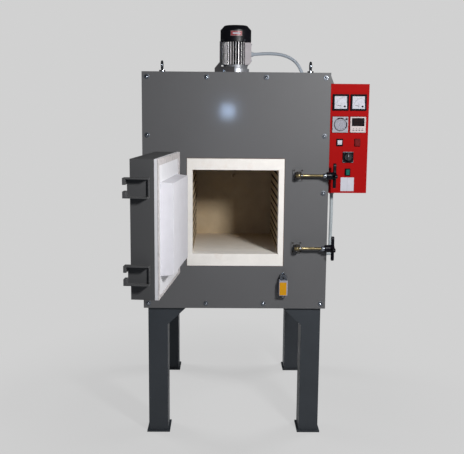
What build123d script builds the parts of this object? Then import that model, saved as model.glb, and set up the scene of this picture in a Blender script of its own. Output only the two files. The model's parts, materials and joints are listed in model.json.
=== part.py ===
"""Front-loading muffle furnace on legs, with an open side-hinged door.

Millimetres, +Z up, +X to the right seen from the front, +Y to the rear.
The origin is on the floor, at the centre of the four anchor holes in the foot plates.
Depths written with front() count from the front face of the case, positive to the rear.
"""
import os
from math import cos, pi, radians, sin, tan

from build123d import *

os.makedirs("parts", exist_ok=True)

# ---- case and stand --------------------------------------------------------
CASE_W = 860.0
CASE_D = 1040.0
CASE_Z0 = 622.0          # underside of the case
CASE_H = 1100.0
SHEET = 3.0
LEG_W = 92.0
LEG_D = 118.0
LEG_SHEET = 5.0
LEG_INSET_X = 20.0       # leg side in from the case side
LEG_INSET_Y = 15.0       # leg face in from the case front
REAR_LEG_INSET_Y = 5.0
FOOT_OVERHANG = 9.0
FOOT_THICK = 8.0
ANCHOR_R = 7.0
GUSSET_W = 90.0
GUSSET_H = 85.0
GUSSET_THICK = 6.0

CASE_Z1 = CASE_Z0 + CASE_H
CASE_X = CASE_W / 2
LEG_X = CASE_X - LEG_INSET_X - LEG_W / 2
LEG_PITCH_Y = CASE_D - LEG_INSET_Y - REAR_LEG_INSET_Y - LEG_D
LEG_Y = LEG_PITCH_Y / 2
FRONT_Y = -LEG_Y - LEG_D / 2 - LEG_INSET_Y

# ---- fasteners on the front plate and lifting eyes --------------------------
NUT_R = 8.5
NUT_HEIGHT = 8.0
NUT_EDGE = 23.0          # nut rows in from the plate's edges
NUT_COLUMNS = 4
NUT_ROWS = 5
EYE_INSET = 90.0         # eye in from the case side
EYE_Y = 45.0             # behind the front face
EYE_RING_R = 18.0
EYE_WIRE_R = 5.0
EYE_FOOT_R = 14.0
EYE_FOOT_H = 8.0

# ---- firing chamber ---------------------------------------------------------
CHAMBER_W = 400.0
CHAMBER_Z0 = 885.0
CHAMBER_H = 393.0
CHAMBER_D = 598.0        # from the case front to the rear wall
LINING = 60.0
COLLAR_W = 450.0
COLLAR_Z0 = 828.0
COLLAR_H = 502.0
COLLAR_DEPTH = 60.0
COLLAR_PROUD = 4.0       # collar face in front of the case
COLLAR_GAP = 2.0         # gap between collar and front plate
LINING_FIT = 0.3
GROOVES = 10
GROOVE_H = 13.0
GROOVE_DEPTH = 15.0
GROOVE_MARGIN = 26.0     # first and last groove in from floor and roof
ELEMENT_R = 4.5
ELEMENT_REST = 0.3
LEAD_CLEARANCE = 2.0
LEAD_END = 60.0          # lead beyond the rear insulation
BOARD_REAR = 180.0
BOARD_TOP = 230.0
CASE_AIR = 5.0
PROBE_R = 6.0
PROBE_Z = 1200.0
PROBE_REACH = 40.0       # probe tip inside the chamber
PROBE_HEAD_R = 22.0
PROBE_HEAD_L = 40.0

CHAMBER_X = CHAMBER_W / 2
CHAMBER_Z1 = CHAMBER_Z0 + CHAMBER_H
LINING_X = CHAMBER_X + LINING
LINING_Z0 = CHAMBER_Z0 - LINING
LINING_Z1 = CHAMBER_Z1 + LINING
LINING_REAR = CHAMBER_D + LINING
BOARD_END = LINING_REAR + BOARD_REAR
BOARD_X = CASE_X - SHEET - CASE_AIR
GROOVE_PITCH = (CHAMBER_H - 2 * GROOVE_MARGIN) / (GROOVES - 1)

# ---- circulation fan and its motor ------------------------------------------
MOTOR_Y = 300.0          # behind the front face
SHAFT_R = 11.0
SHAFT_HOLE_R = 18.0
BEARING_FIT = 0.05
IMPELLER_R = 110.0
IMPELLER_H = 14.0
IMPELLER_TOP_GAP = 6.0
HUB_R = 24.0
HUB_H = 14.0
BLADES = 8
BLADE_THICK = 3.0
FLANGE_R = 66.0
FLANGE_H = 28.0
NECK_R0 = 57.0
NECK_R1 = 60.0
NECK_H = 19.0
BODY_R = 60.0
BODY_H = 107.0
FINS = 32
FIN_TIP_R = 70.0
FIN_THICK = 3.2
COWL_R = 75.0
COWL_H = 79.0
COWL_CHAMFER = 20.0
COWL_WALL = 3.0
COWL_LAP = 14.0          # shaft end inside the cowl
MOTOR_PLATE_W = 151.0
MOTOR_PLATE_THICK = 8.0
MOTOR_PLATE_X = -78.0    # outer face of the upright plate
MOTOR_FOOT_REACH = 24.0
MOTOR_NOSE_H = 28.0      # gusset at the foot's outer edge
MOTOR_GUSSET_H = 57.0
MOTOR_WEB_X = -6.0       # free edge of the web in front of the flange
MOTOR_WEB_H = 36.0
TERMINAL_W = 106.0
TERMINAL_ROOT = 43.0     # inner face from the motor axis
TERMINAL_REACH = 73.0    # outer face from the motor axis
TERMINAL_RISE = 46.0     # terminal box above the case
TERMINAL_H = 105.0
TERMINAL_CHAMFER = 12.0

# ---- conduits ---------------------------------------------------------------
MOTOR_CONDUIT_R = 7.5
CONTROL_CONDUIT_R = 8.0
GLAND_R = 10.5
GLAND_L = 13.0
GLAND_SINK = 2.0         # conduit end inside its gland
TOP_GLAND_INSET = 103.0  # top gland in from the case side
SIDE_CONDUIT_OUT = 31.0  # side conduit out from the case side
SIDE_CONDUIT_Y = 110.0   # behind the front face
ELBOW_Z = 905.0
ELBOW_H = 34.0
MAINS_GLAND_R = 16.0
MAINS_GLAND_L = 26.0
MAINS_GLAND_INSET = 130.0
MAINS_GLAND_RISE = 98.0  # mains gland above the underside of the case
ARCH = (                 # share of the span, sideways, height above the case
    (0.19, 0.0, 102.5),
    (0.395, 2.0, 103.5),
    (0.6, 2.0, 98.5),
    (0.798, 0.0, 79.0),
    (0.938, 0.0, 46.0),
)
DROP = (                 # outwards, to the rear, share of the drop
    (1.0, 1.0, 0.188),
    (2.0, 4.0, 0.404),
    (1.0, 5.0, 0.62),
    (0.0, 3.0, 0.816),
)

TOP_GLAND_X = CASE_X - TOP_GLAND_INSET
SIDE_CONDUIT_X = CASE_X + SIDE_CONDUIT_OUT
TERMINAL_Z0 = CASE_Z1 + TERMINAL_RISE

# ---- control box ------------------------------------------------------------
CONTROL_W = 177.0
CONTROL_H = 502.0
CONTROL_D = 200.0
CONTROL_Z0 = 1172.0
CONTROL_GAP = 4.0        # between case side and box
CONTROL_SETBACK = 25.0   # panel face behind the case front
PANEL_THICK = 3.0
BOX_SHEET = 2.0
BRACKET_THICK = 4.0
BRACKET_RISE = 49.0      # bracket above the box
BRACKET_REACH = 18.0     # bracket's foot out from the case side
SPACER_R = 12.0
SPACER_EDGE = 60.0
COLUMN_INSET = 46.0      # left column in from the box's side
COLUMN_PITCH = 82.0
METER_SIZE = 72.0
METER_BODY = 66.0
METER_BODY_D = 45.0
METER_BEZEL = 8.0
METER_WINDOW = 62.0
METER_POCKET = 5.0
METER_ROW_Z = 1590.0
TIMER_ROW_Z = 1489.0
NEEDLE_L = 34.0
NEEDLE_W = 1.6
NEEDLE_THICK = 1.0
NEEDLE_HUB_R = 5.0
NEEDLE_DROP = 18.0       # pivot below and right of the meter's centre
NEEDLE_REST_DEG = 8.0
NEEDLE_GAP = 0.3
DIAL_R = 26.0
DIAL_H = 7.0
DIAL_STEM_R = 5.0
ROCKER_ROW_Z = 1407.0
ROCKER_W = 30.0
ROCKER_H = 34.0
ROCKER_BEZEL = 4.0
ROCKER_GAP = 0.5
ROCKER_SWING_GAP = 2.5
ROCKER_R = 20.0
LAMP_W = 23.0
LAMP_H = 31.0
LAMP_OUT = 9.0
CAM_Z = 1339.0
CAM_PLATE = 50.0
CAM_PLATE_THICK = 5.0
CAM_KNOB_R = 16.0
CAM_KNOB_H = 16.0
CAM_GRIP_W = 11.0
CAM_GRIP_H = 14.0
BUTTON_Z = 1270.0
BUTTON_RING_W = 26.0
BUTTON_RING_H = 34.0
BUTTON_W = 16.0
BUTTON_H = 25.0
BUTTON_OUT = 8.0
BUTTON_TRAVEL = 4.0
SLIDE_FIT = 0.3

CONTROL_X0 = CASE_X + CONTROL_GAP
LEFT_COLUMN = CONTROL_X0 + COLUMN_INSET
RIGHT_COLUMN = LEFT_COLUMN + COLUMN_PITCH
CENTRE_COLUMN = (LEFT_COLUMN + RIGHT_COLUMN) / 2

# ---- door -------------------------------------------------------------------
DOOR_W = 520.0
DOOR_H = 549.0
DOOR_Z0 = 817.0
DOOR_GAP = 5.0           # inner face in front of the case
DOOR_BOARD = 12.0
DOOR_SHELL = 94.0
DOOR_SHEET = 3.0
DOOR_OPEN_DEG = 96.0
SEAL_W = 26.0
SEAL_THICK = 4.0
SEAL_GAP = 1.0           # lower band clear of the collar
PLUG_DEPTH = 50.0
PLUG_SIDE_GAP = 3.0
PLUG_LOW_GAP = 15.0
PLUG_TOP_GAP = 6.0
PLUG_TAPER = 8.0
HINGE_SIDE = 46.0        # hinge axis beyond the door's edge
HINGE_OUT = 61.0         # hinge axis in front of the case
HINGE_PIN_R = 8.0
HINGE_BARREL_R = 14.0
HINGE_H = 90.0
HINGE_ARM = 8.0
HINGE_LEAF = 6.0
HINGE_LEAF_W = 60.0
HINGE_GAP = 0.3
PIN_HEAD_R = 11.0
PIN_HEAD_H = 5.0
PIN_FIT = 0.05

DOOR_X = DOOR_W / 2
DOOR_Z1 = DOOR_Z0 + DOOR_H
HINGE_X = -DOOR_X - HINGE_SIDE
PLUG_X = CHAMBER_X - PLUG_SIDE_GAP
PLUG_Z0 = CHAMBER_Z0 + PLUG_LOW_GAP
PLUG_H = CHAMBER_Z1 - PLUG_TOP_GAP - PLUG_Z0

# ---- catches and swing-bolt latches ------------------------------------------
CATCH_ZS = (918.0, 1257.0)
CATCH_H = 78.0
CATCH_OUT = 35.0         # catch beyond the door's edge
CATCH_FREE = 18.0        # bolt's collar in front of the closed catch
CATCH_SHEET = 5.0
CATCH_END = 12.0
CATCH_LIP = 12.0         # lip at the end next to the case
SLOT_H = 25.0
LATCH_SIDE = 28.0        # latch pivot beyond the door's edge
LATCH_OUT = 34.0         # latch pivot in front of the case
LATCH_BASE_W = 50.0
LATCH_BASE_H = 56.0
LATCH_BASE_THICK = 5.0
LATCH_EAR = 6.0
LATCH_PIN_R = 6.0
EYE_R = 13.0
EYE_THICK = 13.0
EYE_GAP = 0.4
BOLT_R = 6.5
BOLT_END = 3.0           # bolt beyond the star's inner face
KNOB_GAP = 0.4
COLLAR_L = 9.6
COLLAR_R = 11.0
KNOB_L = 46.0
KNOB_CAP = 6.0           # closed end of the hub's bore
KNOB_HUB_R = 17.0
STAR_IN_HUB = 31.0       # star's inner face from the hub's inner end
STAR_CLEAR = 16.0        # star's inner face beyond the case side
STAR_THICK = 13.0
STAR_R = 57.0
STAR_ARM_W = 20.0
STAR_ARMS = 4

LATCH_X = DOOR_X + LATCH_SIDE
STAR_AT = CASE_X + STAR_CLEAR - LATCH_X
KNOB_AT = STAR_AT - STAR_IN_HUB
COLLAR_AT = KNOB_AT - KNOB_GAP - COLLAR_L
BOLT_L = STAR_AT + BOLT_END
CATCH_START = LATCH_OUT - DOOR_GAP
CATCH_L = COLLAR_AT - CATCH_FREE

# ---- door switch --------------------------------------------------------------
SWITCH_INSET = 33.0      # switch in from the door's free edge
SWITCH_DROP = 123.0      # switch foot below the door's lower edge
SWITCH_W = 40.0
SWITCH_D = 42.0
SWITCH_BODY_H = 72.0
SWITCH_HEAD_H = 26.0
SWITCH_HEAD_D = 34.0
PLUNGER_R = 4.0
PLUNGER_OUT = 10.0
PLUNGER_TRAVEL = 4.0
PLUNGER_IN = 12.0

SWITCH_X = DOOR_X - SWITCH_INSET
SWITCH_Z0 = DOOR_Z0 - SWITCH_DROP


def front(depth):
    """Y of a plane that lies depth behind the front face of the case."""
    return FRONT_Y + depth


def block(x0, x1, y0, y1, z0, z1):
    """Box between two corners."""
    size = Box(x1 - x0, y1 - y0, z1 - z0)
    return Pos((x0 + x1) / 2, (y0 + y1) / 2, (z0 + z1) / 2) * size


def rod(radius, start, end):
    """Cylinder of a radius from one point to another."""
    base = Plane(origin=start, z_dir=Vector(*end) - Vector(*start))
    length = (Vector(*end) - Vector(*start)).length
    return extrude(base * Circle(radius), amount=length)


def plate(points, plane, thick):
    """Flat plate with a polygon outline on a plane."""
    return extrude(plane * make_face(Polyline(*points, close=True)), amount=thick)


def save(node, *solids):
    """Write the solids of one node."""
    pieces = [piece for solid in solids for piece in solid.solids()]
    shape = pieces[0] if len(pieces) == 1 else Compound(children=pieces)
    export_step(shape, f"parts/{node}.step")


# ---- stand and case -----------------------------------------------------------
def leg(side, y_mid):
    """Folded channel leg, open to the rear, with its foot plate and inboard gusset."""
    x_mid = side * LEG_X
    x0, x1 = x_mid - LEG_W / 2, x_mid + LEG_W / 2
    y0, y1 = y_mid - LEG_D / 2, y_mid + LEG_D / 2
    post = block(x0, x1, y0, y1, FOOT_THICK, CASE_Z0)
    post -= block(x0 + LEG_SHEET, x1 - LEG_SHEET, y0 + LEG_SHEET, y1 + LEG_SHEET, FOOT_THICK, CASE_Z0)
    over = FOOT_OVERHANG
    foot = block(x0 - over, x1 + over, y0 - over, y1 + over, 0, FOOT_THICK)
    foot -= rod(ANCHOR_R, (x_mid, y_mid, 0), (x_mid, y_mid, FOOT_THICK))
    x_in = x_mid - side * LEG_W / 2
    outline = [(x_in, CASE_Z0), (x_in - side * GUSSET_W, CASE_Z0), (x_in, CASE_Z0 - GUSSET_H)]
    gusset_plane = Plane(origin=(0, y0 + GUSSET_THICK, 0), x_dir=(1, 0, 0), z_dir=(0, -1, 0))
    return post + foot + plate(outline, gusset_plane, GUSSET_THICK)


def front_plate():
    """Front sheet with the window for the chamber's collar."""
    whole = block(-CASE_X, CASE_X, front(0), front(SHEET), CASE_Z0, CASE_Z1)
    half = COLLAR_W / 2 + COLLAR_GAP
    z0 = COLLAR_Z0 - COLLAR_GAP
    z1 = COLLAR_Z0 + COLLAR_H + COLLAR_GAP
    return whole - block(-half, half, front(0), front(SHEET), z0, z1)


def side_panel(side):
    """Side sheet between the front plate and the rear cover."""
    x0, x1 = sorted((side * CASE_X, side * (CASE_X - SHEET)))
    return block(x0, x1, front(SHEET), front(CASE_D - SHEET), CASE_Z0, CASE_Z1)


def level_panel(z0):
    """Horizontal sheet between the two side panels."""
    half = CASE_X - SHEET
    return block(-half, half, front(SHEET), front(CASE_D - SHEET), z0, z0 + SHEET)


def dome_nut(x, z):
    """Cap nut with a hexagon foot and a rounded crown."""
    face = Plane(origin=(x, front(0), z), x_dir=(1, 0, 0), z_dir=(0, -1, 0))
    hexagon = extrude(face * RegularPolygon(NUT_R, 6), amount=NUT_HEIGHT / 2)
    crown = Pos(x, front(0), z) * Sphere(NUT_HEIGHT)
    return hexagon + (crown - block(x - NUT_R, x + NUT_R, front(0), front(NUT_R), z - NUT_R, z + NUT_R))


def dome_nuts():
    """Nuts along the four edges of the front plate."""
    x_edge = CASE_X - NUT_EDGE
    z_low, z_high = CASE_Z0 + NUT_EDGE, CASE_Z1 - NUT_EDGE
    places = set()
    for i in range(NUT_COLUMNS):
        x = -x_edge + 2 * x_edge * i / (NUT_COLUMNS - 1)
        places |= {(x, z_low), (x, z_high)}
    for i in range(1, NUT_ROWS - 1):
        z = z_low + (z_high - z_low) * i / (NUT_ROWS - 1)
        places |= {(-x_edge, z), (x_edge, z)}
    return [dome_nut(x, z) for x, z in sorted(places)]


def eye_bolt(x):
    """Lifting eye with its ring standing fore and aft."""
    y = front(EYE_Y)
    foot = rod(EYE_FOOT_R, (x, y, CASE_Z1), (x, y, CASE_Z1 + EYE_FOOT_H))
    z_ring = CASE_Z1 + EYE_FOOT_H + EYE_RING_R + EYE_WIRE_R / 2
    ring = Pos(x, y, z_ring) * Rot(0, 90, 0) * Torus(EYE_RING_R, EYE_WIRE_R)
    return foot + ring


# ---- chamber --------------------------------------------------------------------
def chamber_collar():
    """Refractory frame round the mouth, stepped to sit in the front plate's window."""
    z0, z1 = COLLAR_Z0, COLLAR_Z0 + COLLAR_H
    half = COLLAR_W / 2
    seat = SHEET + LINING_FIT
    boss = block(-half, half, front(-COLLAR_PROUD), front(seat), z0, z1)
    body = block(-LINING_X, LINING_X, front(seat), front(COLLAR_DEPTH), LINING_Z0, LINING_Z1)
    mouth = block(-CHAMBER_X, CHAMBER_X, front(-COLLAR_PROUD), front(COLLAR_DEPTH), CHAMBER_Z0, CHAMBER_Z1)
    return boss + body - mouth


def groove_zs():
    """Heights of the element grooves' middles."""
    return [CHAMBER_Z0 + GROOVE_MARGIN + GROOVE_PITCH * i for i in range(GROOVES)]


def element_ends():
    """Front and rear Y of the element rows."""
    inset = ELEMENT_R + ELEMENT_REST
    return front(COLLAR_DEPTH) + inset + LINING_FIT, front(CHAMBER_D) - inset - LINING_FIT


def element_x(side):
    """X of the element's centre line, in the middle of the groove's depth."""
    return side * (CHAMBER_X + GROOVE_DEPTH / 2)


def chamber_side(side):
    """Side wall with horizontal grooves and an upright slot at each end for the bends."""
    x0, x1 = sorted((side * CHAMBER_X, side * LINING_X))
    g0, g1 = sorted((side * CHAMBER_X, side * (CHAMBER_X + GROOVE_DEPTH)))
    y0, y1 = front(COLLAR_DEPTH), front(CHAMBER_D)
    wall = block(x0, x1, y0, y1, CHAMBER_Z0, CHAMBER_Z1)
    zs = groove_zs()
    for z in zs:
        wall -= block(g0, g1, y0, y1, z - GROOVE_H / 2, z + GROOVE_H / 2)
    for i, (z_low, z_high) in enumerate(zip(zs, zs[1:])):
        end = y1 - GROOVE_H if i % 2 else y0
        wall -= block(g0, g1, end, end + GROOVE_H, z_low, z_high)
    return wall


def chamber_slab(z0):
    """Floor or roof slab of the chamber."""
    return block(-LINING_X, LINING_X, front(COLLAR_DEPTH), front(CHAMBER_D), z0, z0 + LINING)


def lead_zs():
    """Heights of the two element leads on each side."""
    drop = GROOVE_H / 2 - ELEMENT_R - ELEMENT_REST
    zs = groove_zs()
    return zs[0] - drop, zs[-1] - drop


def rear_holes(depth0, depth1):
    """Holes for the element leads and the probe between two depths."""
    holes = [rod(PROBE_R + LEAD_CLEARANCE, (0, front(depth0), PROBE_Z), (0, front(depth1), PROBE_Z))]
    for side in (-1, 1):
        for z in lead_zs():
            x = element_x(side)
            holes.append(rod(ELEMENT_R + LEAD_CLEARANCE, (x, front(depth0), z), (x, front(depth1), z)))
    return holes


def rear_wall():
    """Rear wall of the chamber, drilled for leads and probe."""
    wall = block(-LINING_X, LINING_X, front(CHAMBER_D), front(LINING_REAR), LINING_Z0, LINING_Z1)
    return wall - rear_holes(CHAMBER_D, LINING_REAR)


def insulation_boards():
    """Five fibre boards packed round the lining: below, above, two sides and rear."""
    y0, y1 = front(SHEET + CASE_AIR), front(BOARD_END)
    z_floor = CASE_Z0 + SHEET
    x_in = LINING_X + LINING_FIT
    low, high = LINING_Z0 - LINING_FIT, LINING_Z1 + LINING_FIT
    below = block(-BOARD_X, BOARD_X, y0, y1, z_floor, low)
    above = block(-BOARD_X, BOARD_X, y0, y1, high, high + BOARD_TOP)
    above -= shaft_hole(high, high + BOARD_TOP)
    left = block(-BOARD_X, -x_in, y0, y1, low, high)
    right = block(x_in, BOARD_X, y0, y1, low, high)
    behind = block(-x_in, x_in, front(LINING_REAR), y1, low, high)
    behind -= rear_holes(LINING_REAR, BOARD_END)
    return [below, above, left, right, behind]


def heating_element(side):
    """One rod bent back and forth along the grooves, with two leads to the rear."""
    x = element_x(side)
    y0, y1 = element_ends()
    drop = GROOVE_H / 2 - ELEMENT_R - ELEMENT_REST
    zs = [z - drop for z in groove_zs()]
    y_lead = front(BOARD_END + LEAD_END)
    coil = rod(ELEMENT_R, (x, y0, zs[0]), (x, y_lead, zs[0]))
    for i, z in enumerate(zs[1:], start=1):
        y_end = y_lead if i == GROOVES - 1 else y1
        coil += rod(ELEMENT_R, (x, y0, z), (x, y_end, z))
    for i, (z_low, z_high) in enumerate(zip(zs, zs[1:])):
        y = y1 if i % 2 else y0
        coil += rod(ELEMENT_R, (x, y, z_low), (x, y, z_high))
        coil += Pos(x, y, z_low) * Sphere(ELEMENT_R)
        coil += Pos(x, y, z_high) * Sphere(ELEMENT_R)
    return coil


def thermocouple():
    """Ceramic probe through the rear wall, with its connection head behind the boards."""
    y_tip, y_head = front(CHAMBER_D - PROBE_REACH), front(BOARD_END)
    probe = rod(PROBE_R, (0, y_tip, PROBE_Z), (0, y_head, PROBE_Z))
    return probe + rod(PROBE_HEAD_R, (0, y_head, PROBE_Z), (0, y_head + PROBE_HEAD_L, PROBE_Z))


# ---- fan and motor ----------------------------------------------------------------
def shaft_hole(z0, z1):
    """Clearance hole for the fan shaft between two heights."""
    return rod(SHAFT_HOLE_R, (0, front(MOTOR_Y), z0), (0, front(MOTOR_Y), z1))


def stack(radius, z0, z1, x=0.0):
    """Upright cylinder on the motor's axis."""
    return rod(radius, (x, front(MOTOR_Y), z0), (x, front(MOTOR_Y), z1))


FLANGE_Z1 = CASE_Z1 + FLANGE_H
BODY_Z0 = FLANGE_Z1 + NECK_H
BODY_Z1 = BODY_Z0 + BODY_H
COWL_Z1 = BODY_Z1 + COWL_H
IMPELLER_Z1 = CHAMBER_Z1 - IMPELLER_TOP_GAP


def motor_flange():
    """Aluminium end shield: a round foot flange and a neck that widens to the body."""
    foot = stack(FLANGE_R, CASE_Z1, FLANGE_Z1)
    neck = Pos(0, front(MOTOR_Y), FLANGE_Z1 + NECK_H / 2) * Cone(NECK_R0, NECK_R1, NECK_H)
    bore = SHAFT_R + BEARING_FIT
    return foot + neck - stack(bore, CASE_Z1, BODY_Z0)


def motor_body():
    """Finned aluminium stator housing."""
    core = stack(BODY_R, BODY_Z0, BODY_Z1)
    body = core
    x0, x1 = BODY_R - FIN_THICK, FIN_TIP_R
    fin = block(x0, x1, -FIN_THICK / 2, FIN_THICK / 2, BODY_Z0, BODY_Z1)
    for i in range(FINS):
        body += Pos(0, front(MOTOR_Y), 0) * Rot(0, 0, 360 * i / FINS) * fin
    body = body - terminal_block(SLIDE_FIT) + core
    return body - stack(SHAFT_R + BEARING_FIT, BODY_Z0, BODY_Z1)


def terminal_block(grow=0.0):
    """Block of the motor's terminal box, optionally grown by a clearance."""
    y_mid = front(MOTOR_Y)
    half = TERMINAL_W / 2 + grow
    z0, z1 = TERMINAL_Z0 - grow, TERMINAL_Z0 + TERMINAL_H + grow
    return block(TERMINAL_ROOT - grow, TERMINAL_REACH + grow, y_mid - half, y_mid + half, z0, z1)


def terminal_box():
    """Terminal box that hugs the motor's side, bevelled at its lower outer edge."""
    box = terminal_block()
    lower = box.edges().filter_by(Axis.Y).group_by(Axis.Z)[0].sort_by(Axis.X)[-1]
    box = chamfer(lower, TERMINAL_CHAMFER)
    return box - stack(BODY_R + SLIDE_FIT, TERMINAL_Z0, TERMINAL_Z0 + TERMINAL_H)


def motor_cowl():
    """Fan cowl with a bevelled top edge, hollow below."""
    cowl = stack(COWL_R, BODY_Z1, COWL_Z1)
    cowl = chamfer(cowl.edges().sort_by(Axis.Z)[-1], COWL_CHAMFER)
    inner = stack(COWL_R - COWL_WALL, BODY_Z1, COWL_Z1 - COWL_WALL)
    inner = chamfer(inner.edges().sort_by(Axis.Z)[-1], COWL_CHAMFER)
    return cowl - inner


def motor_bracket():
    """Upright plate beside the motor with a foot, two sloping gussets and a web before the flange."""
    y_mid = front(MOTOR_Y)
    half = MOTOR_PLATE_W / 2
    x1 = MOTOR_PLATE_X + MOTOR_PLATE_THICK
    thick = MOTOR_PLATE_THICK
    upright = block(MOTOR_PLATE_X, x1, y_mid - half, y_mid + half, CASE_Z1, BODY_Z1)
    x_foot = MOTOR_PLATE_X - MOTOR_FOOT_REACH
    foot = block(x_foot, MOTOR_PLATE_X, y_mid - half, y_mid + half, CASE_Z1, CASE_Z1 + thick)
    outline = [(x_foot, CASE_Z1), (MOTOR_PLATE_X, CASE_Z1), (MOTOR_PLATE_X, CASE_Z1 + MOTOR_GUSSET_H)]
    outline.append((x_foot, CASE_Z1 + MOTOR_NOSE_H))
    near = Plane(origin=(0, y_mid - half + thick, 0), x_dir=(1, 0, 0), z_dir=(0, -1, 0))
    far = Plane(origin=(0, y_mid + half, 0), x_dir=(1, 0, 0), z_dir=(0, -1, 0))
    y0 = y_mid - half
    web = block(MOTOR_PLATE_X, MOTOR_WEB_X, y0, y0 + thick, CASE_Z1, CASE_Z1 + MOTOR_WEB_H)
    return upright + foot + web + plate(outline, near, thick) + plate(outline, far, thick)


def fan_shaft():
    """Shaft from the cowl down to the impeller's hub."""
    return stack(SHAFT_R, IMPELLER_Z1 - IMPELLER_H, BODY_Z1 + COWL_LAP)


def fan_impeller():
    """Radial wheel under the chamber's roof, keyed to the shaft's end."""
    z1 = IMPELLER_Z1
    z0 = z1 - IMPELLER_H
    wheel = stack(IMPELLER_R, z1 - BLADE_THICK, z1) + stack(HUB_R, z0, z1)
    blade = block(HUB_R - BLADE_THICK, IMPELLER_R, -BLADE_THICK / 2, BLADE_THICK / 2, z0, z1)
    for i in range(BLADES):
        wheel += Pos(0, front(MOTOR_Y), 0) * Rot(0, 0, 360 * i / BLADES) * blade
    return wheel - stack(SHAFT_R, z0, z1)


# ---- conduits -----------------------------------------------------------------------
def conduit(points, radius):
    """Tube along straight runs joined by tangent arcs, with a printout of its arcs."""
    corners = [Vector(*point) for point in points]
    radii = []
    for before, here, after in zip(corners, corners[1:], corners[2:]):
        run_in, run_out = here - before, after - here
        half_turn = radians(run_in.get_angle(run_out)) / 2
        radii.append(0.45 * min(run_in.length, run_out.length) / tan(half_turn))
    path = FilletPolyline(*corners, radius=radii)
    start = Plane(origin=corners[0], z_dir=corners[1] - corners[0])
    tube = sweep(start * Circle(radius), path=path)
    print("arc radii", [round(r) for r in radii], "length", round(path.length, 1))
    print("volume ratio", round(tube.volume / (pi * radius ** 2 * path.length), 4))
    return tube


def motor_conduit():
    """Conduit that arches from the terminal box over to the top cover."""
    y = front(MOTOR_Y)
    x0 = TERMINAL_REACH + GLAND_L - GLAND_SINK
    span = TOP_GLAND_X - x0
    points = [(x0, y, TERMINAL_Z0 + TERMINAL_H / 2)]
    points += [(x0 + share * span, y + aside, CASE_Z1 + rise) for share, aside, rise in ARCH]
    points.append((TOP_GLAND_X, y, CASE_Z1 + GLAND_L - GLAND_SINK))
    return conduit(points, MOTOR_CONDUIT_R)


def control_conduit():
    """Conduit down the case's side, from the control box to an elbow."""
    x = SIDE_CONDUIT_X
    y = front(SIDE_CONDUIT_Y)
    z_top = CONTROL_Z0 - GLAND_L + GLAND_SINK
    fall = z_top - ELBOW_Z + GLAND_SINK
    points = [(x, y, z_top)]
    points += [(x + out, y + aside, z_top - share * fall) for out, aside, share in DROP]
    points.append((x, y, z_top - fall))
    return conduit(points, CONTROL_CONDUIT_R)


def conduit_glands():
    """Glands on terminal box, top cover, control box and rear cover, and the case's elbow."""
    y = front(MOTOR_Y)
    z_motor = TERMINAL_Z0 + TERMINAL_H / 2
    at_motor = rod(GLAND_R, (TERMINAL_REACH, y, z_motor), (TERMINAL_REACH + GLAND_L, y, z_motor))
    at_top = rod(GLAND_R, (TOP_GLAND_X, y, CASE_Z1), (TOP_GLAND_X, y, CASE_Z1 + GLAND_L))
    y = front(SIDE_CONDUIT_Y)
    x = SIDE_CONDUIT_X
    at_box = rod(GLAND_R, (x, y, CONTROL_Z0 - GLAND_L), (x, y, CONTROL_Z0))
    z0 = ELBOW_Z - ELBOW_H
    elbow = rod(GLAND_R, (x, y, z0), (x, y, ELBOW_Z)) + Pos(x, y, z0) * Sphere(GLAND_R)
    elbow += rod(GLAND_R, (CASE_X, y, z0), (x, y, z0))
    x, y, z = CASE_X - MAINS_GLAND_INSET, front(CASE_D), CASE_Z0 + MAINS_GLAND_RISE
    mains = rod(MAINS_GLAND_R, (x, y, z), (x, y + MAINS_GLAND_L, z))
    return [at_motor, at_top, at_box, elbow, mains]


# ---- control box ----------------------------------------------------------------------
PANEL_Y = front(CONTROL_SETBACK)
PANEL_BACK = PANEL_Y + PANEL_THICK
CONTROL_X1 = CONTROL_X0 + CONTROL_W
CONTROL_Z1 = CONTROL_Z0 + CONTROL_H


def centred(x, z, width, height, y0, y1):
    """Block centred on a place of the panel, between two depths."""
    return block(x - width / 2, x + width / 2, y0, y1, z - height / 2, z + height / 2)


def disc(x, z, radius, y0, y1):
    """Cylinder that stands out of the panel, between two depths."""
    return rod(radius, (x, y0, z), (x, y1, z))


def control_box():
    """Sheet box that is open to the front, where the panel closes it."""
    y0, y1 = PANEL_BACK, PANEL_BACK + CONTROL_D
    outer = block(CONTROL_X0, CONTROL_X1, y0, y1, CONTROL_Z0, CONTROL_Z1)
    t = BOX_SHEET
    return outer - block(CONTROL_X0 + t, CONTROL_X1 - t, y0, y1 - t, CONTROL_Z0 + t, CONTROL_Z1 - t)


def button_hole(y0, y1):
    """Rectangular hole for the start button between two depths."""
    return centred(CENTRE_COLUMN, BUTTON_Z, BUTTON_W + 2 * SLIDE_FIT, BUTTON_H + 2 * SLIDE_FIT, y0, y1)


def panel_cutouts():
    """What the instruments and controls need cut from the panel."""
    y0, y1 = PANEL_Y, PANEL_BACK
    size = METER_BODY + 2 * SLIDE_FIT
    cuts = [
        centred(x, z, size, size, y0, y1)
        for x in (LEFT_COLUMN, RIGHT_COLUMN)
        for z in (METER_ROW_Z, TIMER_ROW_Z)
    ]
    rocker = centred(LEFT_COLUMN, ROCKER_ROW_Z, ROCKER_W - ROCKER_BEZEL, ROCKER_H - ROCKER_BEZEL, y0, y1)
    return cuts + [rocker, button_hole(y0, y1)]


def control_panel():
    """Front panel of the control box with its cut-outs."""
    sheet = block(CONTROL_X0, CONTROL_X1, PANEL_Y, PANEL_BACK, CONTROL_Z0, CONTROL_Z1)
    return sheet - panel_cutouts()


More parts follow.
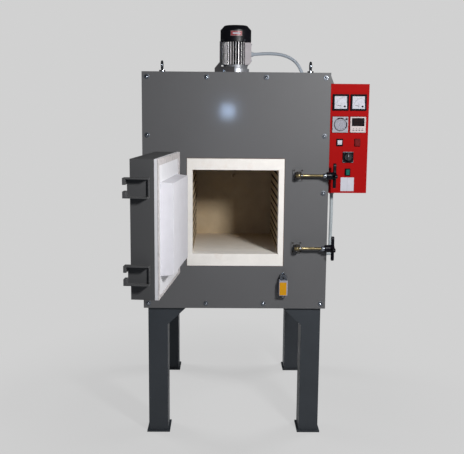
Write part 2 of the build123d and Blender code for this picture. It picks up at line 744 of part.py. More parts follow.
def control_bracket():
    """Top bracket with a sloping edge and two spacers between box and case."""
    x0, x1 = CASE_X, CONTROL_X0
    y0 = PANEL_BACK
    z_top = CONTROL_Z1 + BRACKET_RISE - BRACKET_THICK
    outline = [(x0, CONTROL_Z1), (x0 + BRACKET_REACH, CONTROL_Z1), (x0, z_top)]
    side_plane = Plane(origin=(0, y0 + CONTROL_D, 0), x_dir=(1, 0, 0), z_dir=(0, -1, 0))
    pieces = [plate(outline, side_plane, CONTROL_D)]
    y_mid = y0 + CONTROL_D / 2
    for z in (CONTROL_Z0 + SPACER_EDGE, CONTROL_Z1 - SPACER_EDGE):
        pieces.append(rod(SPACER_R, (x0, y_mid, z), (x1, y_mid, z)))
    return pieces


def meter(x, z):
    """Panel meter: a bezel with a shallow window in front of the panel and a body behind."""
    bezel = centred(x, z, METER_SIZE, METER_SIZE, PANEL_Y - METER_BEZEL, PANEL_Y)
    y_face = PANEL_Y - METER_BEZEL
    bezel -= centred(x, z, METER_WINDOW, METER_WINDOW, y_face, y_face + METER_POCKET)
    return bezel + centred(x, z, METER_BODY, METER_BODY, PANEL_Y, PANEL_Y + METER_BODY_D)


def needle_pivot(x):
    """X, Y and Z of a meter needle's pivot, on the floor of the meter's window."""
    y_floor = PANEL_Y - METER_BEZEL + METER_POCKET
    return x + NEEDLE_DROP, y_floor - NEEDLE_GAP, METER_ROW_Z - NEEDLE_DROP


def needle(x):
    """Pointer on a round hub, resting a little above its zero."""
    px, py, pz = needle_pivot(x)
    y0 = py - NEEDLE_THICK
    hub = disc(px, pz, NEEDLE_HUB_R, y0, py)
    pointer = block(px - NEEDLE_L, px, y0, py, pz - NEEDLE_W / 2, pz + NEEDLE_W / 2)
    pivot = Axis((px, py, pz), (0, 1, 0))
    return hub + pointer.rotate(pivot, NEEDLE_REST_DEG)


def timer_body():
    """Time switch: a square plate in front of the panel and a body behind it."""
    x, z = LEFT_COLUMN, TIMER_ROW_Z
    face = centred(x, z, METER_SIZE, METER_SIZE, PANEL_Y - METER_BEZEL, PANEL_Y)
    body = face + centred(x, z, METER_BODY, METER_BODY, PANEL_Y, PANEL_Y + METER_BODY_D)
    return body - disc(x, z, DIAL_STEM_R + PIN_FIT, PANEL_Y - METER_BEZEL, PANEL_Y)


def timer_dial():
    """Turning dial of the time switch, on a stem in its body."""
    x, z = LEFT_COLUMN, TIMER_ROW_Z
    y_face = PANEL_Y - METER_BEZEL - SLIDE_FIT
    dial = disc(x, z, DIAL_R, y_face - DIAL_H, y_face)
    return dial + disc(x, z, DIAL_STEM_R, y_face, PANEL_Y - SLIDE_FIT)


def temperature_controller():
    """Electronic controller: a bezel with a shallow display recess and a body behind."""
    x, z = RIGHT_COLUMN, TIMER_ROW_Z
    return centred(x, z, METER_SIZE, METER_SIZE, PANEL_Y - METER_BEZEL, PANEL_Y) + centred(
        x, z, METER_BODY, METER_BODY, PANEL_Y, PANEL_Y + METER_BODY_D
    )


def rocker_frame():
    """Frame of the rocker switch."""
    x, z = LEFT_COLUMN, ROCKER_ROW_Z
    y0 = PANEL_Y - ROCKER_BEZEL
    frame = centred(x, z, ROCKER_W, ROCKER_H, y0, PANEL_Y)
    return frame - centred(x, z, ROCKER_W - 2 * ROCKER_BEZEL, ROCKER_H - 2 * ROCKER_BEZEL, y0, PANEL_Y)


def rocker():
    """Rocker: a slice of a cylinder on its pivot line, kept inside the frame."""
    x, z = LEFT_COLUMN, ROCKER_ROW_Z
    half = ROCKER_W / 2 - ROCKER_BEZEL - ROCKER_GAP
    drum = rod(ROCKER_R, (x - half, PANEL_Y + ROCKER_R / 2, z), (x + half, PANEL_Y + ROCKER_R / 2, z))
    height = ROCKER_H - 2 * ROCKER_BEZEL - 2 * ROCKER_SWING_GAP
    keep = centred(x, z, 2 * half, height, PANEL_Y - ROCKER_R, PANEL_Y + ROCKER_BEZEL)
    return drum & keep


def start_button_ring():
    """Rectangular collar of the start button."""
    ring = centred(CENTRE_COLUMN, BUTTON_Z, BUTTON_RING_W, BUTTON_RING_H, PANEL_Y - ROCKER_BEZEL, PANEL_Y)
    return ring - button_hole(PANEL_Y - ROCKER_BEZEL, PANEL_Y)


def start_button():
    """Rectangular push button that slides in its collar."""
    y0 = PANEL_Y - ROCKER_BEZEL - BUTTON_OUT
    return centred(CENTRE_COLUMN, BUTTON_Z, BUTTON_W, BUTTON_H, y0, PANEL_BACK + BUTTON_TRAVEL)


def signal_lamp():
    """Rectangular signal lamp lens."""
    return centred(RIGHT_COLUMN, ROCKER_ROW_Z, LAMP_W, LAMP_H, PANEL_Y - LAMP_OUT, PANEL_Y)


def cam_switch_plate():
    """Front plate of the main cam switch."""
    y0 = PANEL_Y - CAM_PLATE_THICK
    plate_solid = centred(CENTRE_COLUMN, CAM_Z, CAM_PLATE, CAM_PLATE, y0, PANEL_Y)
    return plate_solid - disc(CENTRE_COLUMN, CAM_Z, DIAL_STEM_R + PIN_FIT, y0, PANEL_Y)


def cam_switch_knob():
    """Turning knob of the main switch, with a grip bar across it and a stem."""
    x, z = CENTRE_COLUMN, CAM_Z
    y_face = PANEL_Y - CAM_PLATE_THICK - SLIDE_FIT
    base = disc(x, z, CAM_KNOB_R, y_face - CAM_KNOB_H / 2, y_face)
    grip = centred(x, z, CAM_GRIP_W, 2 * CAM_GRIP_H, y_face - CAM_KNOB_H, y_face)
    return base + grip + disc(x, z, DIAL_STEM_R, y_face, PANEL_Y - SLIDE_FIT)


# ---- door, drawn closed -------------------------------------------------------------------
HINGE_Y = front(-HINGE_OUT)
DOOR_Y = front(-DOOR_GAP)
BOARD_Y = DOOR_Y - DOOR_BOARD
SHELL_Y = BOARD_Y - DOOR_SHELL


def opened(solid):
    """Swing a door solid from closed to its rest position, which is open."""
    return solid.rotate(Axis((HINGE_X, HINGE_Y, 0), (0, 0, 1)), -DOOR_OPEN_DEG)


def door_shell():
    """Folded sheet pan, open towards the chamber."""
    t = DOOR_SHEET
    pan = block(-DOOR_X, DOOR_X, SHELL_Y, BOARD_Y, DOOR_Z0, DOOR_Z1)
    return pan - block(-DOOR_X + t, DOOR_X - t, SHELL_Y + t, BOARD_Y, DOOR_Z0 + t, DOOR_Z1 - t)


def door_insulation():
    """Fibre block that fills the pan."""
    t = DOOR_SHEET + LINING_FIT
    return block(-DOOR_X + t, DOOR_X - t, SHELL_Y + t, BOARD_Y, DOOR_Z0 + t, DOOR_Z1 - t)


def door_board():
    """Flange board over the whole inner face of the door."""
    return block(-DOOR_X, DOOR_X, BOARD_Y, DOOR_Y, DOOR_Z0, DOOR_Z1)


def door_seal():
    """Flat gasket frame along the edge of the board."""
    x, z0, z1 = DOOR_X, DOOR_Z0, DOOR_Z1
    outer = block(-x, x, DOOR_Y, DOOR_Y + SEAL_THICK, z0, z1)
    w = SEAL_W
    return outer - block(-x + w, x - w, DOOR_Y, DOOR_Y + SEAL_THICK, COLLAR_Z0 - SEAL_GAP, z1 - w)


def door_plug():
    """Raised refractory block that fills the chamber's mouth, tapered to swing clear."""
    z0, z1 = PLUG_Z0, PLUG_Z0 + PLUG_H
    base = Plane(origin=(0, DOOR_Y, (z0 + z1) / 2), x_dir=(1, 0, 0), z_dir=(0, 1, 0))
    slope = PLUG_TAPER
    tip = base.offset(PLUG_DEPTH)
    small = Rectangle(2 * (PLUG_X - slope), PLUG_H - slope)
    return loft([base * Rectangle(2 * PLUG_X, PLUG_H), tip * small])


def catch_bracket(z_mid):
    """Tray on the door's free edge with a slotted end for the bolt and a lip at its other end."""
    x0, x1 = DOOR_X, DOOR_X + CATCH_OUT
    y1 = DOOR_Y - CATCH_START
    y0 = y1 - CATCH_L
    half = CATCH_H / 2
    channel = block(x0, x1, y0, y1, z_mid - half, z_mid + half)
    inner = half - CATCH_SHEET
    channel -= block(x0 + CATCH_SHEET, x1, y0 + CATCH_END, y1, z_mid - inner, z_mid + inner)
    channel += block(x0, x0 + CATCH_LIP, y1 - CATCH_SHEET, y1, z_mid - half, z_mid + half)
    return channel - block(x0, x1, y0, y0 + CATCH_END, z_mid - SLOT_H / 2, z_mid + SLOT_H / 2)


def barrel(z0, z1):
    """Hinge knuckle round the hinge axis."""
    return rod(HINGE_BARREL_R, (HINGE_X, HINGE_Y, z0), (HINGE_X, HINGE_Y, z1))


def hinge_bore(z_mid):
    """Bore of both knuckles of one hinge."""
    half = HINGE_H / 2
    return rod(HINGE_PIN_R + PIN_FIT, (HINGE_X, HINGE_Y, z_mid - half), (HINGE_X, HINGE_Y, z_mid + half))


def hinge_leaf(z_mid):
    """Door side of a hinge: a leaf on the door's edge, an arm and the upper knuckle."""
    z0, z1 = z_mid + HINGE_GAP / 2, z_mid + HINGE_H / 2
    y = HINGE_Y
    half = HINGE_LEAF_W / 2
    leaf = block(-DOOR_X - HINGE_LEAF, -DOOR_X, y - half, y + half, z_mid - HINGE_H / 2, z1)
    arm = block(HINGE_X, -DOOR_X - HINGE_LEAF, y - HINGE_ARM / 2, y + HINGE_ARM / 2, z0, z1)
    return leaf + arm + barrel(z0, z1) - hinge_bore(z_mid)


def hinge_bracket(z_mid):
    """Case side of a hinge: a flange on the front plate, an arm and the lower knuckle."""
    z0, z1 = z_mid - HINGE_H / 2, z_mid - HINGE_GAP / 2
    half = HINGE_LEAF_W / 2
    flange = block(HINGE_X - half, HINGE_X + half, front(-HINGE_LEAF), front(0), z0, z_mid + HINGE_H / 2)
    arm = block(HINGE_X - HINGE_ARM / 2, HINGE_X + HINGE_ARM / 2, HINGE_Y, front(-HINGE_LEAF), z0, z1)
    return flange + arm + barrel(z0, z1) - hinge_bore(z_mid)


def hinge_pin(z_mid):
    """Headed pin through both knuckles."""
    half = HINGE_H / 2
    z_head = z_mid + half + HINGE_GAP
    pin = rod(HINGE_PIN_R, (HINGE_X, HINGE_Y, z_mid - half), (HINGE_X, HINGE_Y, z_head))
    return pin + rod(PIN_HEAD_R, (HINGE_X, HINGE_Y, z_head), (HINGE_X, HINGE_Y, z_head + PIN_HEAD_H))


# ---- latches ---------------------------------------------------------------------------------
LATCH_Y = front(-LATCH_OUT)
EAR_Z = EYE_THICK / 2 + EYE_GAP


def latch_bracket(z_mid):
    """Clevis on the front plate: a base and two ears above and below the bolt's eye."""
    half = LATCH_BASE_W / 2
    z_half = LATCH_BASE_H / 2
    x0, x1 = LATCH_X - half, LATCH_X + half
    base = block(x0, x1, front(-LATCH_BASE_THICK), front(0), z_mid - z_half, z_mid + z_half)
    for side in (-1, 1):
        z0, z1 = sorted((z_mid + side * EAR_Z, z_mid + side * (EAR_Z + LATCH_EAR)))
        ear = block(LATCH_X - EYE_R, LATCH_X + EYE_R, LATCH_Y, front(-LATCH_BASE_THICK), z0, z1)
        base += ear + rod(EYE_R, (LATCH_X, LATCH_Y, z0), (LATCH_X, LATCH_Y, z1))
    reach = EAR_Z + LATCH_EAR
    return base - rod(LATCH_PIN_R, (LATCH_X, LATCH_Y, z_mid - reach), (LATCH_X, LATCH_Y, z_mid + reach))


def latch_pin(z_mid):
    """Pin through the clevis ears and the bolt's eye."""
    reach = EAR_Z + LATCH_EAR
    top = reach + PIN_HEAD_H
    pin = rod(LATCH_PIN_R, (LATCH_X, LATCH_Y, z_mid - top), (LATCH_X, LATCH_Y, z_mid + reach))
    return pin + rod(PIN_HEAD_R, (LATCH_X, LATCH_Y, z_mid + reach), (LATCH_X, LATCH_Y, z_mid + top))


def latch_bolt(z_mid):
    """Swing bolt: an eye on the pin, a round shank and a collar in front of the knob."""
    half = EYE_THICK / 2
    eye = rod(EYE_R, (LATCH_X, LATCH_Y, z_mid - half), (LATCH_X, LATCH_Y, z_mid + half))
    shank = rod(BOLT_R, (LATCH_X, LATCH_Y, z_mid), (LATCH_X + BOLT_L, LATCH_Y, z_mid))
    x0 = LATCH_X + COLLAR_AT
    collar = rod(COLLAR_R, (x0, LATCH_Y, z_mid), (x0 + COLLAR_L, LATCH_Y, z_mid))
    bore = rod(LATCH_PIN_R + PIN_FIT, (LATCH_X, LATCH_Y, z_mid - half), (LATCH_X, LATCH_Y, z_mid + half))
    return eye + shank + collar - bore


def latch_knob(z_mid):
    """Star grip with four lobes on a hub that turns on the bolt."""
    x0 = LATCH_X + KNOB_AT
    hub = rod(KNOB_HUB_R, (x0, LATCH_Y, z_mid), (x0 + KNOB_L, LATCH_Y, z_mid))
    s0 = LATCH_X + STAR_AT
    s1 = s0 + STAR_THICK
    half = STAR_ARM_W / 2
    tip = STAR_R - half
    star = block(s0, s1, LATCH_Y - tip, LATCH_Y + tip, z_mid - half, z_mid + half)
    star += block(s0, s1, LATCH_Y - half, LATCH_Y + half, z_mid - tip, z_mid + tip)
    for i in range(STAR_ARMS):
        turn = 2 * pi * i / STAR_ARMS
        y, z = LATCH_Y + tip * cos(turn), z_mid + tip * sin(turn)
        star += rod(half, (s0, y, z), (s1, y, z))
    bore = rod(BOLT_R + PIN_FIT, (x0, LATCH_Y, z_mid), (x0 + KNOB_L - KNOB_CAP, LATCH_Y, z_mid))
    return hub + star - bore


# ---- door switch -------------------------------------------------------------------------------
SWITCH_HEAD_Z0 = SWITCH_Z0 + SWITCH_BODY_H
SWITCH_HEAD_Z1 = SWITCH_HEAD_Z0 + SWITCH_HEAD_H
PLUNGER_Y = front(-SWITCH_HEAD_D / 2)


def door_switch():
    """Switch housing with a narrower metal head, bored for its plunger."""
    half = SWITCH_W / 2
    body = block(SWITCH_X - half, SWITCH_X + half, front(-SWITCH_D), front(0), SWITCH_Z0, SWITCH_HEAD_Z0)
    head_half = half - PLUNGER_R
    x0, x1 = SWITCH_X - head_half, SWITCH_X + head_half
    body += block(x0, x1, front(-SWITCH_HEAD_D), front(0), SWITCH_HEAD_Z0, SWITCH_HEAD_Z1)
    z0 = SWITCH_HEAD_Z1 - PLUNGER_IN - PLUNGER_TRAVEL
    return body - rod(PLUNGER_R + PIN_FIT, (SWITCH_X, PLUNGER_Y, z0), (SWITCH_X, PLUNGER_Y, SWITCH_HEAD_Z1))


def switch_plunger():
    """Round-ended plunger that slides in the switch head."""
    z0, z1 = SWITCH_HEAD_Z1 - PLUNGER_IN + SLIDE_FIT, SWITCH_HEAD_Z1 + PLUNGER_OUT - PLUNGER_R
    return rod(PLUNGER_R, (SWITCH_X, PLUNGER_Y, z0), (SWITCH_X, PLUNGER_Y, z1)) + Pos(
        SWITCH_X, PLUNGER_Y, z1
    ) * Sphere(PLUNGER_R)


# ---- write the nodes ------------------------------------------------------------------------------
SIDES = (-1, 1)
save("front_legs", *[leg(side, -LEG_Y) for side in SIDES])
save("rear_legs", *[leg(side, LEG_Y) for side in SIDES])
save("front_plate", front_plate())
save("side_panels", *[side_panel(side) for side in SIDES])
save("base_plate", level_panel(CASE_Z0))
save("top_cover", level_panel(CASE_Z1 - SHEET) - shaft_hole(CASE_Z1 - SHEET, CASE_Z1))
save("rear_cover", block(-CASE_X, CASE_X, front(CASE_D - SHEET), front(CASE_D), CASE_Z0, CASE_Z1))
save("dome_nuts", *dome_nuts())
save("eye_bolts", *[eye_bolt(side * (CASE_X - EYE_INSET)) for side in SIDES])
save("chamber_collar", chamber_collar())
save("chamber_floor", chamber_slab(LINING_Z0))
save("chamber_roof", chamber_slab(CHAMBER_Z1) - shaft_hole(CHAMBER_Z1, LINING_Z1))
save("chamber_side_left", chamber_side(-1))
save("chamber_side_right", chamber_side(1))
save("chamber_rear_wall", rear_wall())
save("insulation_boards", *insulation_boards())
save("heating_element_left", heating_element(-1))
save("heating_element_right", heating_element(1))
save("thermocouple", thermocouple())
save("motor_bracket", motor_bracket())
save("motor_flange", motor_flange())
save("motor_body", motor_body())
save("motor_cowl", motor_cowl())
save("motor_terminal_box", terminal_box())
save("fan_shaft", fan_shaft())
save("fan_impeller", fan_impeller())
save("motor_conduit", motor_conduit())
save("control_conduit", control_conduit())
save("conduit_glands", *conduit_glands())
save("control_box", control_box())
save("control_panel", control_panel())
save("control_bracket", *control_bracket())
save("ammeters", meter(LEFT_COLUMN, METER_ROW_Z), meter(RIGHT_COLUMN, METER_ROW_Z))
save("ammeter_needle_left", needle(LEFT_COLUMN))
save("ammeter_needle_right", needle(RIGHT_COLUMN))
save("timer_body", timer_body())
save("timer_dial", timer_dial())
save("temperature_controller", temperature_controller())
save("switch_frames", rocker_frame(), start_button_ring())
save("rocker", rocker())
save("start_button", start_button())
save("signal_lamp", signal_lamp())
save("cam_switch_plate", cam_switch_plate())
save("cam_switch_knob", cam_switch_knob())
save("door_switch", door_switch())
save("switch_plunger", switch_plunger())
save("hinge_brackets", *[hinge_bracket(z) for z in CATCH_ZS])
save("latch_brackets", *[latch_bracket(z) for z in CATCH_ZS])
save("pivot_pins", *[hinge_pin(z) for z in CATCH_ZS], *[latch_pin(z) for z in CATCH_ZS])
save("door_shell", opened(door_shell()))
save("door_insulation", opened(door_insulation()))
save("door_board", opened(door_board()))
save("door_seal", opened(door_seal()))
save("door_plug", opened(door_plug()))
save("catch_brackets", *[opened(catch_bracket(z)) for z in CATCH_ZS])
save("hinge_leaves", *[opened(hinge_leaf(z)) for z in CATCH_ZS])
for name, z_latch in zip(("lower", "upper"), CATCH_ZS):
    save(f"latch_bolt_{name}", latch_bolt(z_latch))
    save(f"latch_knob_{name}", latch_knob(z_latch))
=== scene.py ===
import json
import math

import bmesh
import bpy
from mathutils import Matrix, Vector


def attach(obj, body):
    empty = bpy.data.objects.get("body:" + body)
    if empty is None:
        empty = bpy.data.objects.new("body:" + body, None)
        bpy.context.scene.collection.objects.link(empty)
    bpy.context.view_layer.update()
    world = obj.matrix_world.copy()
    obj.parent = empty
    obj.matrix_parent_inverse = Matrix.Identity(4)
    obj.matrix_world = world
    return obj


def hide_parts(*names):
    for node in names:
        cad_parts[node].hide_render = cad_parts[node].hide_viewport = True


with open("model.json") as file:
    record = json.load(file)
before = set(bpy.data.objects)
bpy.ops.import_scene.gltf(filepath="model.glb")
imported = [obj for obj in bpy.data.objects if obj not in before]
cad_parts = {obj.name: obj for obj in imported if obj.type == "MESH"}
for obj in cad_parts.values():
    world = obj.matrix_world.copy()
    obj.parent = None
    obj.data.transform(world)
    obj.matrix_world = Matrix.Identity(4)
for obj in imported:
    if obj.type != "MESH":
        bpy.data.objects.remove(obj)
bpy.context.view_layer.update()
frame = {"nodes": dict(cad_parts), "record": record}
NODES = frame["nodes"]
SLOT_OF = {part["node"]: part["material_slot"] for part in frame["record"]["subparts"]}
BODY_OF = {node: body for body, nodes in frame["record"]["behaviour"]["bodies"].items() for node in nodes}
scene = bpy.context.scene
scene.view_settings.view_transform = "Standard"

# Lengths are in millimetres in the row frame, and become metres where a mesh or curve is made.
MM = 0.001
FRONT = -525.0           # front face of the case
TOP = 1722.0             # top of the case
MOTOR_Y = -225.0
SIDE_Y = -415.0
SIDE_X = 461.0
LATCH_X = 288.0          # axis of the swing bolts' pivot pins
LATCH_Y = FRONT - 34
LATCHES = {"lower": 918.0, "upper": 1257.0}
HINGE_X = -306.0         # axis of the door's hinges
HINGE_Y = FRONT - 61
DOOR_OPEN = 96.0         # degrees from closed to the rest position
DOOR_FACE = -636.0       # outer face of the closed door


# ---- camera ------------------------------------------------------------------
def make_camera():
    """Camera at the photographer's place, looking a little down."""
    yaw, pitch, roll = 0.0132, 0.1519, 0.0081
    ahead = Vector((math.sin(yaw) * math.cos(pitch), math.cos(yaw) * math.cos(pitch), -math.sin(pitch)))
    level = Vector((math.cos(yaw), -math.sin(yaw), 0))
    up = level.cross(ahead)
    right = math.cos(roll) * level + math.sin(roll) * up
    up = right.cross(ahead)
    camera = bpy.data.objects.new("camera", bpy.data.cameras.new("camera"))
    camera.data.sensor_width = 36
    camera.data.lens = 59.8
    turn = Matrix((right, up, -ahead)).transposed().to_4x4()
    camera.matrix_world = Matrix.Translation((-0.062, -4.080, 1.556)) @ turn
    scene.collection.objects.link(camera)
    scene.camera = camera


# ---- materials ------------------------------------------------------------------
def node(tree, kind, **values):
    """One shader node, with its properties and unlinked inputs set."""
    made = tree.nodes.new("ShaderNode" + kind)
    for key, value in values.items():
        if hasattr(made, key):
            setattr(made, key, value)
        else:
            made.inputs[int(key[1:]) if key[0] == "i" and key[1:].isdigit() else key].default_value = value
    return made


def ramp(tree, source, stops):
    """Colour ramp fed by a socket; stops are (place, colour)."""
    made = tree.nodes.new("ShaderNodeValToRGB")
    tree.links.new(source, made.inputs[0])
    elements = made.color_ramp.elements
    while len(elements) < len(stops):
        elements.new(0.5)
    for element, (place, colour) in zip(elements, stops):
        element.position = place
        element.color = (*colour, 1) if len(colour) == 3 else colour
    return made.outputs[0]


def spread(tree, source, low, high, start=0.3, end=0.7):
    """A socket's values mapped from start-end to low-high."""
    made = tree.nodes.new("ShaderNodeMapRange")
    tree.links.new(source, made.inputs[0])
    for place, value in zip((1, 2, 3, 4), (start, end, low, high)):
        made.inputs[place].default_value = value
    return made.outputs[0]


def noise(tree, coord, scale, detail=4.0, rough=0.55, stretch=(1, 1, 1)):
    """Noise texture over object coordinates, optionally stretched."""
    mapping = tree.nodes.new("ShaderNodeMapping")
    mapping.inputs["Scale"].default_value = stretch
    tree.links.new(coord, mapping.inputs[0])
    made = tree.nodes.new("ShaderNodeTexNoise")
    made.inputs["Scale"].default_value = scale
    made.inputs["Detail"].default_value = detail
    made.inputs["Roughness"].default_value = rough
    tree.links.new(mapping.outputs[0], made.inputs["Vector"])
    return made.outputs[0]


def blend_colour(tree, share, first, second):
    """Mix of two colours or sockets by a socket's value."""
    made = tree.nodes.new("ShaderNodeMix")
    made.data_type = "RGBA"
    tree.links.new(share, made.inputs[0])
    for place, value in ((6, first), (7, second)):
        if isinstance(value, tuple):
            made.inputs[place].default_value = (*value, 1)
        else:
            tree.links.new(value, made.inputs[place])
    return made.outputs[2]


def times(tree, first, second):
    """Product of two sockets."""
    made = tree.nodes.new("ShaderNodeMath")
    made.operation = "MULTIPLY"
    for place, value in enumerate((first, second)):
        if isinstance(value, (int, float)):
            made.inputs[place].default_value = value
        else:
            tree.links.new(value, made.inputs[place])
    return made.outputs[0]


def shade(colour, factor):
    """A colour made lighter or darker."""
    return tuple(min(1.0, channel * factor) for channel in colour)


MATERIALS = {}


def surface(name, colour, rough, metallic=0.0, mottle=(9.0, 0.10), grain=(350.0, 0.15, 0.25),
            rough_vary=0.07, wear=None, stain=None, place=None, stretch=(1, 1, 1), **sockets):
    """Principled material with mottled colour, uneven gloss, fine grain, worn edges or stains, and an optional tint
    along one axis that paints shade.
    """
    material = bpy.data.materials.new(name)
    material.use_nodes = True
    tree = material.node_tree
    shader = tree.nodes["Principled BSDF"]
    shader.inputs["Metallic"].default_value = metallic
    for key, value in sockets.items():
        shader.inputs[key.replace("_", " ")].default_value = value
    coord = tree.nodes.new("ShaderNodeTexCoord").outputs["Object"]
    cloud = noise(tree, coord, mottle[0], 5, 0.6, stretch)
    out = ramp(tree, cloud, [(0.3, shade(colour, 1 - mottle[1])), (0.7, shade(colour, 1 + mottle[1]))])
    # place blends the colour towards a tint along one object axis; it paints shade, in the wall grooves and at the
    # back of the hearth.
    if place:
        axis, start, end, tint = place
        parts = tree.nodes.new("ShaderNodeSeparateXYZ")
        tree.links.new(coord, parts.inputs[0])
        along = parts.outputs[axis]
        if axis == "X":
            both = tree.nodes.new("ShaderNodeMath")
            both.operation = "ABSOLUTE"
            tree.links.new(along, both.inputs[0])
            along = both.outputs[0]
        out = blend_colour(tree, spread(tree, along, 0, 1, start, end), out, tint)
    if stain:
        tint, scale, start, end, amount = stain
        patch = spread(tree, noise(tree, coord, scale, 6, 0.65), 0, amount, start, end)
        out = blend_colour(tree, patch, out, tint)
    if wear:
        tint, start, end = wear
        edge = tree.nodes.new("ShaderNodeNewGeometry").outputs["Pointiness"]
        mask = spread(tree, edge, 0, 1, start, end)
        rubbed = times(tree, mask, spread(tree, noise(tree, coord, 60, 5, 0.7), 0.2, 1, 0.35, 0.6))
        out = blend_colour(tree, rubbed, out, tint)
    tree.links.new(out, shader.inputs["Base Color"])
    gloss = noise(tree, coord, mottle[0] * 2.7, 4, 0.6, stretch)
    tree.links.new(spread(tree, gloss, rough - rough_vary, rough + rough_vary), shader.inputs["Roughness"])
    fine = noise(tree, coord, grain[0], 3, 0.6, stretch)
    bump = tree.nodes.new("ShaderNodeBump")
    bump.inputs["Strength"].default_value = grain[1]
    bump.inputs["Distance"].default_value = grain[2] * MM
    tree.links.new(fine, bump.inputs["Height"])
    tree.links.new(bump.outputs[0], shader.inputs["Normal"])
    MATERIALS[name] = material
    return material


surface("case_paint", (0.124, 0.124, 0.128), 0.50, mottle=(3.5, 0.02), grain=(420, 0.15, 0.3),
        rough_vary=0.018, Specular_IOR_Level=0.17,
        Coat_Weight=0.27, Coat_Roughness=0.088)
# Painted shade: a darker copy of the case paint, for the door shell and its catch brackets.
surface("door_shaded_paint", (0.084, 0.084, 0.086), 0.50, mottle=(3.5, 0.02), grain=(420, 0.15, 0.3),
        rough_vary=0.018, Specular_IOR_Level=0.2)
surface("leg_paint", (0.042, 0.048, 0.056), 0.45, mottle=(4, 0.10), grain=(380, 0.3, 0.3),
        Specular_IOR_Level=0.3)
surface("red_panel", (0.335, 0.005, 0.005), 0.6, mottle=(6, 0.05), grain=(450, 0.2, 0.2), rough_vary=0.05,
        Specular_IOR_Level=0.03)
surface("zinc_yellow", (0.26, 0.21, 0.11), 0.36, 0.9, mottle=(40, 0.25), grain=(500, 0.2, 0.2))
surface("washer_zinc", (0.12, 0.13, 0.15), 0.45, 0.6, mottle=(50, 0.15), grain=(500, 0.15, 0.2))
surface("zinc", (0.34, 0.37, 0.42), 0.24, 1.0, mottle=(50, 0.12), grain=(500, 0.15, 0.2))
surface("dark_steel", (0.030, 0.027, 0.025), 0.45, 0.2, mottle=(30, 0.2), grain=(400, 0.3, 0.3),
        wear=((0.16, 0.14, 0.12), 0.53, 0.62), Specular_IOR_Level=0.3)
surface("refractory", (0.46, 0.36, 0.235), 0.9, mottle=(14, 0.07), grain=(160, 0.5, 0.8),
        stain=((0.50, 0.34, 0.17), 5, 0.50, 0.75, 0.35), Specular_IOR_Level=0.15)
# Painted shade: the side walls turn near black beyond 200 mm from the centre, inside the element grooves.
surface("grooved_wall", (0.46, 0.36, 0.235), 0.9, mottle=(14, 0.07), grain=(160, 0.5, 0.8),
        place=("X", 0.2004, 0.2020, (0.012, 0.009, 0.007)), Specular_IOR_Level=0.1)
# Painted shade: the hearth turns darker and browner towards the back of the chamber; the stain on it is random.
surface("hearth", (0.90, 0.86, 0.80), 0.9, mottle=(14, 0.05), grain=(160, 0.5, 0.8),
        place=("Y", -0.42, 0.05, (0.62, 0.51, 0.38)), stain=((0.55, 0.40, 0.27), 7, 0.55, 0.78, 0.35),
        Specular_IOR_Level=0.1)
surface("collar_cast", (0.90, 0.865, 0.82), 0.9, mottle=(16, 0.04), grain=(180, 0.5, 0.8),
        stain=((0.70, 0.56, 0.46), 9, 0.55, 0.78, 0.45), Specular_IOR_Level=0.15)
surface("plug_board", (0.70, 0.69, 0.73), 0.95, mottle=(18, 0.03), grain=(220, 0.5, 0.8), Specular_IOR_Level=0.1)
surface("fibre_board", (0.76, 0.755, 0.78), 0.95, mottle=(20, 0.04), grain=(220, 0.5, 0.8), Specular_IOR_Level=0.1)
surface("seal", (0.55, 0.52, 0.52), 0.95, mottle=(60, 0.2), grain=(260, 0.8, 1.2), Specular_IOR_Level=0.1)
surface("element_wire", (0.05, 0.035, 0.028), 0.65, 0.4, mottle=(60, 0.3), grain=(400, 0.4, 0.3))
surface("motor_aluminium", (0.42, 0.43, 0.46), 0.42, 0.7, mottle=(30, 0.12), grain=(260, 0.35, 0.4))
surface("black_plastic", (0.005, 0.005, 0.008), 0.42, mottle=(30, 0.2), grain=(600, 0.2, 0.2),
        Specular_IOR_Level=0.3)
surface("conduit_plastic", (0.36, 0.40, 0.45), 0.5, mottle=(20, 0.08), grain=(300, 0.3, 0.3),
        Specular_IOR_Level=0.3)
surface("grey_plastic", (0.33, 0.33, 0.38), 0.5, mottle=(30, 0.06), grain=(600, 0.15, 0.2),
        Specular_IOR_Level=0.1)
surface("needle", (0.02, 0.02, 0.02), 0.4)
surface("lamp_red", (0.15, 0.009, 0.010), 0.45, mottle=(80, 0.2), Specular_IOR_Level=0.06)
surface("button_green", (0.004, 0.11, 0.085), 0.45, mottle=(80, 0.15), Specular_IOR_Level=0.1)
surface("white_plastic", (0.53, 0.53, 0.585), 0.5, mottle=(30, 0.04), grain=(600, 0.1, 0.1),
        Specular_IOR_Level=0.1)
surface("switch_yellow", (0.62, 0.29, 0.008), 0.5, mottle=(30, 0.06), grain=(500, 0.2, 0.2),
        Specular_IOR_Level=0.15)
surface("conduit_pale", (0.40, 0.44, 0.46), 0.5, mottle=(20, 0.05), grain=(300, 0.3, 0.3), Specular_IOR_Level=0.3)
surface("black_iron", (0.018, 0.016, 0.018), 0.45, mottle=(30, 0.2), grain=(300, 0.3, 0.3),
        wear=((0.10, 0.09, 0.09), 0.54, 0.64), Specular_IOR_Level=0.3)
surface("label_red", (0.35, 0.02, 0.03), 0.4, mottle=(60, 0.1))
